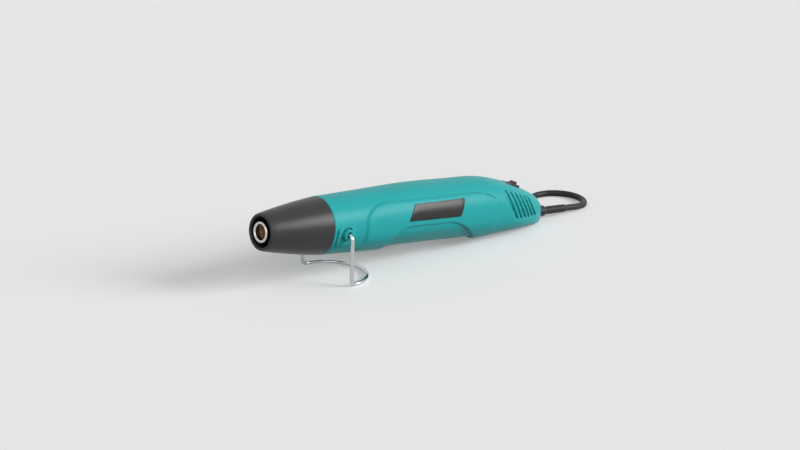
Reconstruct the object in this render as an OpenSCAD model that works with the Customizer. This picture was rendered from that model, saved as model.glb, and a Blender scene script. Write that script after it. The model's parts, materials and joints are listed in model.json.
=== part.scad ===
// Embossing heat tool: a slim hot-air gun on a folding wire stand, with its mains lead put away behind it.
// Two frames are used. The tool frame has x back from the nose face, y to the right, z up from the barrel.
// The row frame is the one that the tool stands in: the stand tips its nose up, and z = 0 is the table.

/* [Nose and nozzle] */
// Length of the black nose cone
nose_l = 43; // [40:0.5:44]
// Diameter of the nose cone at its front
nose_front_d = 22.6; // [22:0.1:24]
// Wall of the nose cone
nose_wall = 2; // [1.8:0.1:2.2]
// Outer diameter of the steel nozzle tube
tube_d = 13; // [12.8:0.1:13.2]
// Length of the steel nozzle tube
tube_l = 58; // [57:0.5:58]

/* [Body] */
// Distance from the nose face to the rear end of the body
body_end = 231; // [230.8:0.1:231.4]
// Diameter of the body where it meets the nose
barrel_d = 35.6; // [35.4:0.1:36]
// Wall of the two shells
wall = 2; // [1.8:0.1:2]
// Height of the raised panel on each side
panel_rise = 0.8; // [0.4:0.1:1]
// Depth of the grip hollow under the body
grip_depth = 1.9; // [1:0.1:2]
// Air slots on each side
slot_count = 6; // [4:1:6]
// Width of an air slot
slot_w = 1.3; // [1:0.1:1.5]

/* [Stand] */
// Diameter of the stand wire
stand_wire_d = 2.5; // [2.4:0.1:2.5]
// Length of a stand leg, from its pivot to the middle of the wire on the table
stand_leg = 30.7; // [30:0.1:32]
// Half of the distance between the two legs
stand_half_w = 23.6; // [23:0.1:25]

/* [Fan and motor] */
// Diameter of the fan
fan_d = 26.8; // [25:0.2:27]
// Number of fan blades
fan_blades = 7; // [5:1:8]
// Diameter of the motor can
motor_d = 23; // [22:0.5:23]
// Length of the motor can
motor_l = 32; // [30:0.5:32]

/* [Lead] */
// Diameter of the mains lead
cord_d = 4.2; // [4.2:0.1:4.3]
// Real length of the mains lead, from the strain relief to the plug
cord_length = 1500; // [1450:10:1550]
// Turns of the stored coil, in two layers
coil_turns = 7.75; // [6.75:1:7.75]

/* [Hidden] */

teal = [0.22, 0.66, 0.65];
near_black = [0.16, 0.16, 0.16];
steel = [0.78, 0.78, 0.78];
mica_gold = [0.66, 0.52, 0.36];
brass = [0.78, 0.62, 0.3];
clear = 0.05;
fine = 72;

// Side view of the body: distance back from the nose face, then height
body_top = [[43, 17.8], [82, 19.2], [116, 20.4], [150, 20], [173, 19.5], [190, 16.6], [206, 11.4],
    [220, 5.7], [228, 0]];
body_bottom = [[43, -17.8], [85, -18.8], [125, -19.3], [166, -19.6], [188, -17.9], [204, -16.6], [218, -16],
    [228, -15.9]];
body_half_w = [[43, 17.8], [60, 18.1], [100, 19.2], [150, 19.4], [180, 18.8], [200, 17.6], [212, 14.4],
    [221, 10.8], [228, 6.6]];
section_power = [[43, 2], [100, 2.15], [190, 2.3], [228, 2.9]];
end_r = 3;
body_flat = body_end - end_r;
end_steps = [20, 40, 60, 80];
station_n = 44;
arc_n = 16;

// Standing pose: the stand lifts the pivot, and the heel of the body rests on the table
pivot_x = 52;
pivot_z = -1.5;
heel_x = body_flat;
heel_z = along(body_bottom, heel_x);
pivot_h = stand_leg + stand_wire_d / 2;
heel_reach = [heel_x - pivot_x, pivot_z - heel_z];
pitch = asin(pivot_h / norm(heel_reach)) - atan(heel_reach.y / heel_reach.x);
lift = heel_x * sin(pitch) - heel_z * cos(pitch);
relief_end = 258;
exit_z = -8.6;
front_tip_x = -1.1;
rear_tip_x = to_x(relief_end, exit_z) + 0.3;
shift_x = -(front_tip_x + rear_tip_x) / 2;

// Position in the row frame of a point of the tool frame
function to_x(x, z) = x * cos(pitch) + z * sin(pitch);
function to_row(p) = [to_x(p.x, p.z) + shift_x, p.y, -p.x * sin(pitch) + p.z * cos(pitch) + lift];
module standing() {
    translate([shift_x, 0, lift]) rotate([0, pitch, 0]) children();
}
// Turns a solid of revolution made about z so that it lies along the barrel axis
module on_axis() {
    rotate([0, 90, 0]) children();
}
module rod_x(d, x0, x1) {
    translate([x0, 0, 0]) on_axis() cylinder(d = d, h = x1 - x0, $fn = fine);
}
module rod_y(d, y0, y1) {
    translate([0, y0, 0]) rotate([-90, 0, 0]) cylinder(d = d, h = y1 - y0, $fn = fine);
}
module ring_x(d_out, d_in, x0, x1) {
    difference() {
        rod_x(d_out, x0, x1);
        rod_x(d_in, x0 - 1, x1 + 1);
    }
}

// Smooth curve through a table of [distance, value]
function span(table, x, i = 0) = (i >= len(table) - 2 || x < table[i + 1][0]) ? i : span(table, x, i + 1);
function rise(table, i) =
    let (a = table[max(i - 1, 0)], b = table[min(i + 1, len(table) - 1)]) (b[1] - a[1]) / (b[0] - a[0]);
function along(table, x) =
    let (
        i = span(table, x),
        h = table[i + 1][0] - table[i][0],
        t = (x - table[i][0]) / h,
        t2 = t * t,
        t3 = t2 * t
    )
    (2 * t3 - 3 * t2 + 1) * table[i][1] + (t3 - 2 * t2 + t) * h * rise(table, i)
    + (3 * t2 - 2 * t3) * table[i + 1][1] + (t3 - t2) * h * rise(table, i + 1);
function step_up(t) = let (c = min(max(t, 0), 1)) c * c * (3 - 2 * c);
function rounded(c, n) = sign(c) * pow(abs(c), 2 / n);
function unit(v) = v / norm(v);

// Raised side panel: level above z = 4, with elliptical corners at its front and rear
panel = [[86, 158], [19.5, 21], 4, 10.8];
function panel_mask(x, z) =
    let (
        ex = x < panel[0][0] ? (panel[0][0] - x) / panel[1][0] : max(0, (x - panel[0][1]) / panel[1][1]),
        ez = max(0, (z - panel[2]) / panel[3])
    )
    step_up((1 - norm([ex, ez])) / 0.2) * step_up((z + 14) / 10);
// Grip hollow: its front edge leans a little, its rear edge leans well back
function grip_mask(x, z) =
    let (
        front = 101.5 + (z + 3) * 0.3,
        rear = 137 - (z + 3) * 1.35,
        ex = x < front ? (front - x) / 10 : max(0, (x - rear) / 10),
        ez = max(0, (z + 8) / 7.5)
    )
    step_up((1 - norm([ex, ez])) / 0.3) * (0.4 + 0.6 * step_up(-z / 14));

// One point of the body's skin, pushed in by inset, at the angle a of its section
function skin(x, a, inset, shrink, side) =
    let (
        top = along(body_top, x),
        bottom = along(body_bottom, x),
        n = along(section_power, x),
        mid = (top + bottom) / 2,
        half_h = (top - bottom) / 2 - inset - shrink,
        half_w = along(body_half_w, x) - inset - shrink,
        y = half_w * rounded(cos(a), n),
        z = half_h * rounded(sin(a), n),
        out = (inset < wall ? panel_rise * panel_mask(x, mid + z) : 0) - grip_depth * grip_mask(x, mid + z),
        k = 1 + out / norm([y, z])
    )
    [x, side * y * k, mid + z * k];
function arc_angle(k) = -90 + 180 * k / arc_n;
stations = concat(
    [for (i = [0:station_n]) [nose_l + (body_flat - nose_l) * i / station_n, 0]],
    [for (a = end_steps) [body_flat + end_r * sin(a), end_r * (1 - cos(a))]]
);
function skin_ring(x, inset, shrink, side) = [for (k = [0:arc_n]) skin(x, arc_angle(k), inset, shrink, side)];
// A face list turned over for the left side, so that both halves face outwards
function facing(faces, side) = side > 0 ? faces : [for (f = faces) [for (i = [len(f) - 1:-1:0]) f[i]]];
function halves(a, b, c, d) = [[a, b, c], [a, c, d]];

// Hollow half of the body, open at the nose and on the joint plane y = 0
module half_shell(side) {
    row = arc_n + 1;
    last = len(stations) - 1;
    inner_x = (body_end - wall - nose_l) / (body_end - nose_l);
    outside = [for (s = stations) each skin_ring(s[0], 0, s[1], side)];
    inside = [for (s = stations) each [for (p = skin_ring(s[0], wall, s[1], side))
        [nose_l + (p.x - nose_l) * inner_x, p.y, p.z]]];
    base = len(outside);
    walls = [for (i = [0:last - 1]) for (k = [0:arc_n - 1]) let (o = i * row + k, n = o + base) each concat(
        halves(o, o + row, o + row + 1, o + 1),
        halves(n + 1, n + row + 1, n + row, n)
    )];
    edges = [for (i = [0:last - 1]) let (o = i * row, t = o + arc_n) each concat(
        halves(o, o + base, o + base + row, o + row),
        halves(t + base, t, t + row, t + base + row)
    )];
    front = [for (k = [0:arc_n - 1]) each halves(k, k + 1, k + 1 + base, k + base)];
    end = last * row;
    rear = concat(
        [[for (k = [arc_n:-1:0]) end + k]],
        [[for (k = [0:arc_n]) end + base + k]],
        halves(end + base, end + base + arc_n, end + arc_n, end)
    );
    polyhedron(points = concat(outside, inside), faces = facing(concat(walls, edges, front, rear), side));
}
// Solid slice of one half of the body, out to the middle of its wall
module half_fill(x0, x1, side) {
    row = arc_n + 1;
    slices = [for (x = [x0, (x0 + x1) / 2, x1]) each skin_ring(x, wall / 2, 0, side)];
    faces = concat(
        [for (i = [0:1]) for (k = [0:arc_n - 1]) let (o = i * row + k) each
            halves(o, o + row, o + row + 1, o + 1)],
        [for (i = [0:1]) let (o = i * row) each halves(o, o + arc_n, o + arc_n + row, o + row)],
        [[for (k = [0:arc_n]) k]],
        [[for (k = [arc_n:-1:0]) 2 * row + k]]
    );
    polyhedron(points = slices, faces = facing(faces, side));
}
module rib(x0, x1, bore, side) {
    difference() {
        half_fill(x0, x1, side);
        rod_x(bore, x0 - 1, x1 + 1);
    }
}

// Case screws: height and distance back of each, all driven from the right
screw_places = [[57, 12.2], [57, -12.2], [141, -7], [168, 11.6], [200, -10.5]];
screw_d = 2.6;
screw_head_d = 4.8;
boss_d = 7;
seat_y = 4;
screw_tip_y = -8;
module screw_boss(p, side) {
    intersection() {
        half_fill(p[0] - boss_d, p[0] + boss_d, side);
        translate([p[0], 0, p[1]]) rod_y(boss_d, -30, 30);
    }
}

// Air slots lean back as they go down, and bow towards the nose
function slot_line(i, t) =
    let (
        top = [186.4 + 4.3 * i, 13.2 - 1.4 * i],
        foot = [196.2 + 4.3 * i, -5.3 - 0.2 * i]
    )
    top + (foot - top) * t - [4 * t * (1 - t), 0];
module slot_shape(i) {
    steps = [0:0.2:1];
    polygon(concat(
        [for (t = steps) slot_line(i, t) + [slot_w / 2, 0]],
        [for (t = steps) slot_line(i, 1 - t) - [slot_w / 2, 0]]
    ));
}
module slots(side) {
    for (i = [0:slot_count - 1])
        translate([0, side > 0 ? 4 : -4, 0]) rotate([90, 0, 0]) mirror([0, 0, side > 0 ? 1 : 0])
            linear_extrude(25) slot_shape(i);
}

// Pad round the stand's pivot, of the barrel's own curve
pad_w = 13.4;
pad_top = 2.8;
pad_foot = -9;
pad_r = 19.1;
pivot_boss_d = 6.4;
pivot_boss_y = 19.9;
boss_foot_y = 13.4;
function corner(cx, cz, r, a0) = [for (a = [a0:30:a0 + 90]) [cx + r * cos(a), cz + r * sin(a)]];
module round_rect(x0, x1, z0, z1, r) {
    polygon(concat(
        corner(x1 - r, z1 - r, r, 0),
        corner(x0 + r, z1 - r, r, 90),
        corner(x0 + r, z0 + r, r, 180),
        corner(x1 - r, z0 + r, r, 270)
    ));
}
module pivot_pad(side) {
    mirror([0, side > 0 ? 0 : 1, 0]) difference() {
        union() {
            intersection() {
                rod_x(2 * pad_r, pivot_x - pad_w, pivot_x + pad_w);
                translate([0, boss_foot_y, 0]) rotate([90, 0, 0]) mirror([0, 0, 1]) linear_extrude(pad_r)
                    round_rect(pivot_x - pad_w / 2, pivot_x + pad_w / 2, pad_foot, pad_top, 2.5);
            }
            translate([pivot_x, 0, pivot_z]) rod_y(pivot_boss_d, boss_foot_y, pivot_boss_y);
        }
        rod_x(2 * (spigot_r + clear), nose_l - 1, nose_l + spigot_l + 0.3);
    }
}

// Rocker switch in the sloping rear deck
switch_x = 202.5;
switch_z = along(body_top, switch_x);
deck_tilt = atan((along(body_top, switch_x - 1) - along(body_top, switch_x + 1)) / 2);
switch_hole = [11.6, 7.8];
switch_flange = [13, 9.2, 0.8];
tab_gap = 3.2;
tab_tip = -15;
function tab_end(s) = [
    switch_x + s * tab_gap * cos(deck_tilt) + tab_tip * sin(deck_tilt),
    0,
    switch_z - s * tab_gap * sin(deck_tilt) + tab_tip * cos(deck_tilt)
];
module on_deck() {
    translate([switch_x, 0, switch_z]) rotate([0, deck_tilt, 0]) children();
}
module centred(size, z0) {
    translate([-size[0] / 2, -size[1] / 2, z0]) cube([size[0], size[1], size[2]]);
}

// Strain relief, moulded on the lead
relief_groove_d = 7.4;
relief_start = 221;
relief_seat_x = 226.2;
duct_out_d = 29.6;
duct_x = [79, 97];
motor_x = 99;
motor_end = motor_x + motor_l;
board_x = [146, 163];
board_z = 4;
board_half_w = 8;
lead_d = 1.4;
heater_lead_a = 50;
heater_lead_r = 16;
function heater_lead_at(side) =
    [side * heater_lead_r * cos(heater_lead_a), heater_lead_r * sin(heater_lead_a)];
module heater_lead_bore(side, d) {
    p = heater_lead_at(side);
    translate([0, p[0], p[1]]) rod_x(d, 70, 140);
}

// Clamp that holds the lead between two posts of the left shell
clamp_x = 217;
clamp_reach = 3.65;
clamp_foot = 2.6;
clamp_screw_d = 1.6;
clamp_head_d = 2.4;
clamp_screw_tip_y = -7;
tail_x = 211;
module shell(side) {
    difference() {
        union() {
            half_shell(side);
            rib(81, 83, duct_out_d, side);
            rib(93, 95, duct_out_d, side);
            rib(122, 124, motor_d + 2 * clear, side);
            rib(tube_l - 1, tube_l + 0.8, flange_d, side);
            half_fill(relief_seat_x, relief_seat_x + 2, side);
            for (p = screw_places) screw_boss(p, side);
            pivot_pad(side);
            board_rail(side);
            if (side < 0) for (s = [-1, 1]) clamp_post(s);
        }
        heater_lead_bore(side, lead_d + 0.6);
        slots(side);
        on_deck() centred([switch_hole[0], switch_hole[1], 14], -10);
        translate([0, 0, exit_z]) rod_x(relief_groove_d, body_end - 12, body_end + 2);
        translate([pivot_x, 0, pivot_z]) mirror([0, side > 0 ? 0 : 1, 0])
            rod_y(stand_wire_d + 2 * clear, 13, 21);
        for (p = screw_places) translate([p[0], 0, p[1]]) {
            if (side > 0) rod_y(screw_d, -1, seat_y + 1);
            if (side > 0) rod_y(screw_head_d + 0.4, seat_y, 22);
            if (side < 0) rod_y(screw_d - 0.4, screw_tip_y - 1, 1);
        }
        if (side < 0) for (s = [-1, 1]) translate([clamp_x, 0, exit_z + s * clamp_reach])
            rod_y(clamp_screw_d, clamp_screw_tip_y, 1);
    }
}
module board_rail(side) {
    intersection() {
        half_fill(board_x[0] + 2, board_x[1] - 2, side);
        translate([board_x[0] + 2, side > 0 ? board_half_w : -30, board_z - 1.8])
            cube([board_x[1] - board_x[0] - 4, 30 - board_half_w, 1.8]);
    }
}
module clamp_post(s) {
    intersection() {
        half_fill(clamp_x - 4, clamp_x + 4, -1);
        translate([clamp_x, 0, exit_z + s * clamp_reach]) rod_y(3, -20, 0);
    }
}
module left_shell() {
    color(teal) standing() shell(-1);
}
module right_shell() {
    color(teal) standing() shell(1);
}
module case_screws() {
    color(steel) standing() for (p = screw_places) translate([p[0], 0, p[1]]) difference() {
        union() {
            rod_y(screw_d - 0.4, screw_tip_y, seat_y + 0.5);
            rod_y(screw_head_d, seat_y, seat_y + 2);
        }
        for (turn = [0, 90]) rotate([0, turn, 0]) translate([-1.4, seat_y + 1.1, -0.3]) cube([2.8, 1.5, 0.6]);
    }
}

// Nose cone: a shallow curve from the rounded lip to the body, with a spigot held inside the shells
function nose_r(x) = let (t = x / nose_l) nose_front_d / 2
    + (barrel_d - nose_front_d) / 2 * (1.33 * t - 0.33 * t * t);
spigot_l = 7;
spigot_r = barrel_d / 2 - wall - 0.15;
lip_r = 0.9;
module nose_cone() {
    steps = [0.1:0.1:1];
    lip_mid = nose_front_d / 2 - nose_wall / 2;
    color(near_black) standing() on_axis() rotate_extrude($fn = 96) polygon(concat(
        [for (a = [180:-30:0]) [lip_mid + nose_wall / 2 * cos(a), lip_r * (1 - sin(a))]],
        [for (t = steps) [nose_r(nose_l * t), nose_l * t]],
        [
            [spigot_r, nose_l],
            [spigot_r, nose_l + spigot_l],
            [spigot_r - nose_wall, nose_l + spigot_l]
        ],
        [for (t = [1:-0.1:0.1]) [nose_r(nose_l * t) - nose_wall, nose_l * t]]
    ));
}

// Steel tube with its front edge rolled inwards and its rear edge flanged
tube_wall = 0.5;
roll_r = 0.9;
flange_d = 17.2;
module nozzle_tube() {
    roll_x = roll_r - 0.4;
    color(steel) standing() on_axis() union() {
        difference() {
            translate([0, 0, roll_x]) cylinder(d = tube_d, h = tube_l - roll_x, $fn = fine);
            translate([0, 0, roll_x - 1]) cylinder(d = tube_d - 2 * tube_wall, h = tube_l + 2, $fn = fine);
        }
        translate([0, 0, roll_x]) rotate_extrude($fn = fine)
            translate([tube_d / 2 - roll_r, 0]) circle(r = roll_r, $fn = 24);
        translate([0, 0, tube_l]) difference() {
            cylinder(d = flange_d, h = 0.8, $fn = fine);
            translate([0, 0, -1]) cylinder(d = tube_d - 2 * tube_wall, h = 3, $fn = fine);
        }
    }
}

// Heating element: a wound wire on crossed mica plates, in a mica sleeve, on a ceramic spider
element_x = [8, 55];
former_half = 4.6;
wire_r = 0.3;
heater_turns = 13;
module mica_sleeve() {
    color(mica_gold) standing() ring_x(tube_d - 2 * tube_wall, tube_d - 2 * tube_wall - 0.8, 5, 56);
}
module element_former() {
    color(mica_gold) standing() for (turn = [45, 135]) rotate([turn, 0, 0])
        translate([element_x[0], -former_half, -0.3])
            cube([element_x[1] - element_x[0], 2 * former_half, 0.6]);
}
module heating_coil() {
    n = 8;
    turn_x = (element_x[1] - element_x[0] - 8) / heater_turns;
    path = [for (i = [0:heater_turns * n]) let (a = 360 * i / n)
        [element_x[0] + 3 + turn_x * i / n, (former_half + 0.2) * cos(a), (former_half + 0.2) * sin(a)]];
    color(steel) standing() tube_along(path, wire_r, 6, [1, 0, 0]);
}
module element_base() {
    color("white") standing() {
        ring_x(tube_d - 2 * tube_wall, 9.6, 56, 58);
        for (turn = [45, 135]) rotate([turn, 0, 0])
            translate([element_x[1], -4.85, -0.8]) cube([2.9, 9.7, 1.6]);
    }
}
module thermal_cutout() {
    color(steel) standing() rotate([45, 0, 0]) translate([46, 0.3, 0.3]) cube([7, 2.4, 2.4]);
}

// Funnel that gathers the fan's air into the tube
module air_funnel() {
    color(mica_gold) standing() on_axis() rotate_extrude($fn = fine) polygon([
        [tube_d / 2 - tube_wall, tube_l + 0.8],
        [flange_d / 2, tube_l + 0.8],
        [duct_out_d / 2, duct_x[0] - 3],
        [duct_out_d / 2, duct_x[0]],
        [duct_out_d / 2 - 1, duct_x[0]],
        [duct_out_d / 2 - 1, duct_x[0] - 2.6],
        [tube_d / 2 - tube_wall, tube_l + 2.4]
    ]);
}

// Duct round the fan, with guide vanes that carry the motor
vane_count = 6;
cup_wall = 1.2;
module fan_duct() {
    color(near_black) standing() {
        ring_x(duct_out_d, duct_out_d - 2, duct_x[0], duct_x[1] + 2);
        ring_x(motor_d + 2 * cup_wall, motor_d, motor_x - 2, motor_x + 5);
        ring_x(motor_d + 0.5, 6, motor_x - 2, motor_x);
        for (i = [0:vane_count - 1]) rotate([60 * i, 0, 0])
            translate([motor_x - 2, motor_d / 2 + 0.4, -0.6]) cube([2, (duct_out_d - motor_d) / 2 - 1, 1.2]);
    }
}
fan_x = [84, 93];
shaft_d = 2;
module fan_impeller() {
    color([0.75, 0.75, 0.72]) standing() difference() {
        union() {
            rod_x(10, fan_x[0], fan_x[1]);
            intersection() {
                rod_x(fan_d, fan_x[0], fan_x[1]);
                for (i = [0:fan_blades - 1]) rotate([360 / fan_blades * i, 0, 0])
                    translate([(fan_x[0] + fan_x[1]) / 2, 0, 3]) rotate([0, 0, 52])
                        translate([-9, -0.5, 0]) cube([18, 1, 14]);
            }
        }
        rod_x(shaft_d, fan_x[0] + 1, fan_x[1] + 1);
    }
}
module motor_shaft() {
    color(steel) standing() rod_x(shaft_d, fan_x[0] + 1, motor_end + 5);
}
module shaft_bushes() {
    color(brass) standing() {
        ring_x(6, shaft_d + 2 * clear, motor_x - 3.4, motor_x);
        ring_x(5, shaft_d + 2 * clear, motor_end + 3, motor_end + 4.6);
    }
}
module motor_can() {
    color(steel) standing() ring_x(motor_d, shaft_d + 2 * clear, motor_x, motor_end);
}
module motor_endcap() {
    color("white") standing() {
        ring_x(motor_d, shaft_d + 2 * clear, motor_end, motor_end + 3);
        for (s = [-1, 1]) translate([motor_end + 3, s * 7 - 0.3, -1.5]) cube([4, 0.6, 3]);
    }
}

// Rectifier board: four diodes and a capacitor on a small plate carried by rails in the shells
board_t = 1.2;
module rectifier_board() {
    color([0.2, 0.42, 0.24]) standing() translate([board_x[0], -board_half_w - 1.5, board_z])
        cube([board_x[1] - board_x[0], 2 * board_half_w + 3, board_t]);
}
module board_parts() {
    color(near_black) standing() translate([0, 0, board_z + board_t]) {
        for (i = [0:3]) translate([board_x[0] + 3 + 3.4 * i, 0, 1.35]) rod_y(2.7, -7, -1.8);
        translate([board_x[0] + 2.5, 2, 0]) cube([10, 5, 6]);
    }
}
lead_up = [0, 1, 0.4];
module inner_lead(points) {
    tube_along(points, lead_d / 2, 8, lead_up);
}
module heater_leads() {
    color([0.85, 0.82, 0.75]) standing() for (side = [-1, 1]) {
        p = heater_lead_at(side);
        inner_lead([
            [58.2, side * 3.6, 3.6], [62, side * 4.2, 4.2], [70, side * 6.4, 6.6],
            [75, p[0] - side * 1.6, p[1] - 2], [78, p[0], p[1]], [138, p[0], p[1]],
            [144, side * 8, 9], [147, side * 6.4, board_z + board_t + 0.6]
        ]);
    }
}
module power_leads() {
    color([0.3, 0.2, 0.14]) standing() {
        inner_lead([
            [tail_x, 1.2, exit_z], tab_end(1) + [4, 1.3, -4.4], tab_end(1) + [1.3, 1.4, -2.4],
            tab_end(1) + [0, 1.4, -0.2]
        ]);
        inner_lead([
            [tail_x, -1.2, exit_z], [208, -2.2, -7], [203, -4, -5],
            [190, -5, -3], [176, -5, 0], [162, -5, 3.3]
        ]);
        inner_lead([
            tab_end(-1), tab_end(-1) + [-1.9, 0.4, -1.3], [188, 1, -1.6], [176, 2, 1.6], [166, 2, 4],
            [163, 2, 4.6]
        ]);
        for (s = [-1, 1]) inner_lead([[motor_end + 7, s * 7, 0], [141, s * 7, 0.8], [147, s * 6.4, 3.3]]);
    }
}

// Rocker switch: a box pushed through the deck, and a rocker on a pin across it
rocker_well = [9.8, 6, 8];
rocker_pin_z = -1.5;
rocker_pin_d = 1.6;
rocker_tilt = 7;
module switch_housing() {
    color(near_black) standing() on_deck() {
        difference() {
            union() {
                centred(switch_flange, 0);
                centred([switch_hole[0] - 0.2, switch_hole[1] - 0.2, 10], -10);
            }
            centred(rocker_well, -3.6);
            translate([0, 0, rocker_pin_z]) rod_y(rocker_pin_d + 2 * clear, -3.5, 3.5);
        }
        for (s = [-1, 1]) translate([s * tab_gap, 0, 0]) centred([0.8, 4.8, 5], tab_tip);
    }
}
module switch_rocker() {
    half_w = rocker_well[1] / 2 - 0.3;
    color([0.35, 0.1, 0.12]) standing() on_deck()
    translate([0, 0, rocker_pin_z]) rotate([0, -rocker_tilt, 0]) {
        rotate([90, 0, 0]) translate([0, 0, -half_w]) linear_extrude(2 * half_w) polygon([
            [-4, 0.6], [-4.5, 3.4], [0, 2.6], [4.5, 3.9], [4, 0.6], [1.6, -1.2], [-1.6, -1.2]
        ]);
        rod_y(rocker_pin_d, -3.4, 3.4);
    }
}

// Blank plate on the left side
label_corners = [[102.1, 2.3], [145.3, 1.4], [150, 11.9], [109.3, 11.2]];
label_t = 0.4;
module label_plate() {
    cols = 8;
    rows = 3;
    function place(i, j) = let (s = i / cols, t = j / rows)
        (label_corners[0] * (1 - s) + label_corners[1] * s) * (1 - t)
        + (label_corners[3] * (1 - s) + label_corners[2] * s) * t;
    function angle_at(x, z) =
        let (top = along(body_top, x), bottom = along(body_bottom, x)) asin(pow(
            (z - (top + bottom) / 2) / ((top - bottom) / 2), along(section_power, x) / 2));
    function on_skin(p, out) = skin(p[0], angle_at(p[0], p[1]), -out, 0, -1);
    grid = [for (out = [0, label_t]) for (j = [0:rows]) for (i = [0:cols]) on_skin(place(i, j), out)];
    w = cols + 1;
    top = w * (rows + 1);
    faces = concat(
        [for (j = [0:rows - 1]) for (i = [0:cols - 1]) let (a = j * w + i) each concat(
            halves(a, a + 1, a + w + 1, a + w),
            halves(a + top + w, a + top + w + 1, a + top + 1, a + top)
        )],
        [for (i = [0:cols - 1]) let (a = i, b = rows * w + i) each concat(
            halves(a, a + top, a + top + 1, a + 1),
            halves(b + 1, b + top + 1, b + top, b)
        )],
        [for (j = [0:rows - 1]) let (a = j * w, b = a + cols) each concat(
            halves(a + w, a + w + top, a + top, a),
            halves(b, b + top, b + w + top, b + w)
        )]
    );
    color(near_black) standing() polyhedron(points = grid, faces = faces);
}

// Wire stand: two legs with turned-in ends, and a bow that lies on the table and is a little flat in the middle
stand_bend = 3;
bow_bend = 3.5;
bow_corner_r = 16;
bow_mid_r = 24.3;
bow_turn = acos((stand_half_w - bow_corner_r) / (bow_mid_r - bow_corner_r));
pin_tip_y = 14;
bow_x = bow_bend - (bow_mid_r - bow_corner_r) * sin(bow_turn);
bow_lead_in = 0.3;
function bow_at(a) = abs(a) > 90 - bow_turn
    ? [bow_bend + bow_corner_r * cos(a), sign(a) * (stand_half_w - bow_corner_r) + bow_corner_r * sin(a)]
    : [bow_x + bow_mid_r * cos(a), bow_mid_r * sin(a)];
bow_path = concat(
    [for (x = [0, bow_lead_in]) [bow_bend + x, stand_half_w, -stand_leg]],
    [for (a = [86:-4:-86]) [each bow_at(a), -stand_leg]],
    [for (x = [bow_lead_in, 0]) [bow_bend + x, -stand_half_w, -stand_leg]]
);
module elbow(r, d) {
    rotate_extrude(angle = 90, $fn = fine) translate([r, 0]) circle(d = d, $fn = 24);
}
module stand_wire() {
    d = stand_wire_d;
    foot_z = -stand_leg;
    color(steel) translate(to_row([pivot_x, 0, pivot_z])) {
        tube_along(bow_path, d / 2, 24, [0, 0, 1]);
        for (side = [0, 1]) mirror([0, side, 0]) {
            rod_y(d, pin_tip_y, stand_half_w - stand_bend);
            translate([0, stand_half_w - stand_bend, -stand_bend]) rotate([90, 0, 90]) elbow(stand_bend, d);
            translate([0, stand_half_w, foot_z + bow_bend])
                cylinder(d = d, h = stand_leg - bow_bend - stand_bend, $fn = fine);
            translate([bow_bend, stand_half_w, foot_z + bow_bend]) rotate([90, 180, 0]) elbow(bow_bend, d);
        }
    }
}

// Clamp plate with two feet that reach the posts beside the lead
module cord_clamp() {
    color(near_black) standing() translate([clamp_x, 0, exit_z]) difference() {
        union() {
            translate([-2.5, cord_d / 2, -clamp_reach - clamp_foot / 2])
                cube([5, 1.8, 2 * clamp_reach + clamp_foot]);
            for (s = [-1, 1]) translate([-1.5, 0, s * clamp_reach - clamp_foot / 2])
                cube([3, cord_d / 2 + 1, clamp_foot]);
        }
        for (s = [-1, 1]) translate([0, 0, s * clamp_reach]) rod_y(clamp_screw_d + 0.2, -1, 6);
    }
}
module clamp_screws() {
    color(steel) standing() for (s = [-1, 1]) translate([clamp_x, 0, exit_z + s * clamp_reach]) {
        rod_y(clamp_screw_d, clamp_screw_tip_y, cord_d / 2 + 2);
        rod_y(clamp_head_d, cord_d / 2 + 1.8, cord_d / 2 + 3);
    }
}
module cord_tail() {
    color(near_black) standing() translate([0, 0, exit_z]) rod_x(cord_d, tail_x, relief_start);
}
// Strain relief: a flange inside the shells, a collar, then a tapering ribbed sleeve
relief_flange_r = 4.2;
relief_flange_t = 3.6;
relief_collar_r = 3.6;
relief_sleeve_r = [2.5, 2.3];
relief_collar_end = body_end + 5.8;
relief_ribs = 5;
relief_rib_x = [240, 254];
function relief_rib(i) =
    let (
        x = relief_rib_x[0] + (relief_rib_x[1] - relief_rib_x[0]) * i / (relief_ribs - 1),
        r = 2.7 - 0.05 * i
    )
    [[r - 0.25, x], [r, x + 0.3], [r, x + 1.5], [r - 0.25, x + 1.8]];
module strain_relief() {
    color(near_black) standing() translate([0, 0, exit_z]) on_axis() rotate_extrude($fn = 48) polygon(concat(
        [[0, relief_start], [3, relief_start], [3, relief_seat_x - relief_flange_t]],
        [[relief_flange_r, relief_seat_x - relief_flange_t], [relief_flange_r, relief_seat_x]],
        [[relief_collar_r, relief_seat_x], [relief_collar_r, relief_collar_end - 0.4]],
        [[relief_collar_r - 0.4, relief_collar_end], [relief_sleeve_r[0], relief_collar_end + 0.6]],
        [for (i = [0:relief_ribs - 1]) each relief_rib(i)],
        [[relief_sleeve_r[1], relief_end], [0, relief_end]]
    ));
}

// Tube swept along a list of points
function heading(p, i) = unit(p[min(i + 1, len(p) - 1)] - p[max(i - 1, 0)]);
function hoop(c, t, up, r, n) =
    let (s = unit(cross(t, up)), w = cross(s, t))
    [for (a = [0:360 / n:359.9]) c + r * (cos(a) * s + sin(a) * w)];
module tube_along(path, r, n, up) {
    last = len(path) - 1;
    points = [for (i = [0:last]) each hoop(path[i], heading(path, i), up, r, n)];
    sides = [for (i = [0:last - 1]) for (k = [0:n - 1]) let (a = i * n + k, b = i * n + (k + 1) % n) each
        halves(a, b, b + n, a + n)];
    ends = concat(
        [for (k = [1:n - 2]) [0, k + 1, k]],
        [for (k = [1:n - 2]) [last * n, last * n + k, last * n + k + 1]]
    );
    polyhedron(points = points, faces = concat(sides, ends));
}

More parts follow.
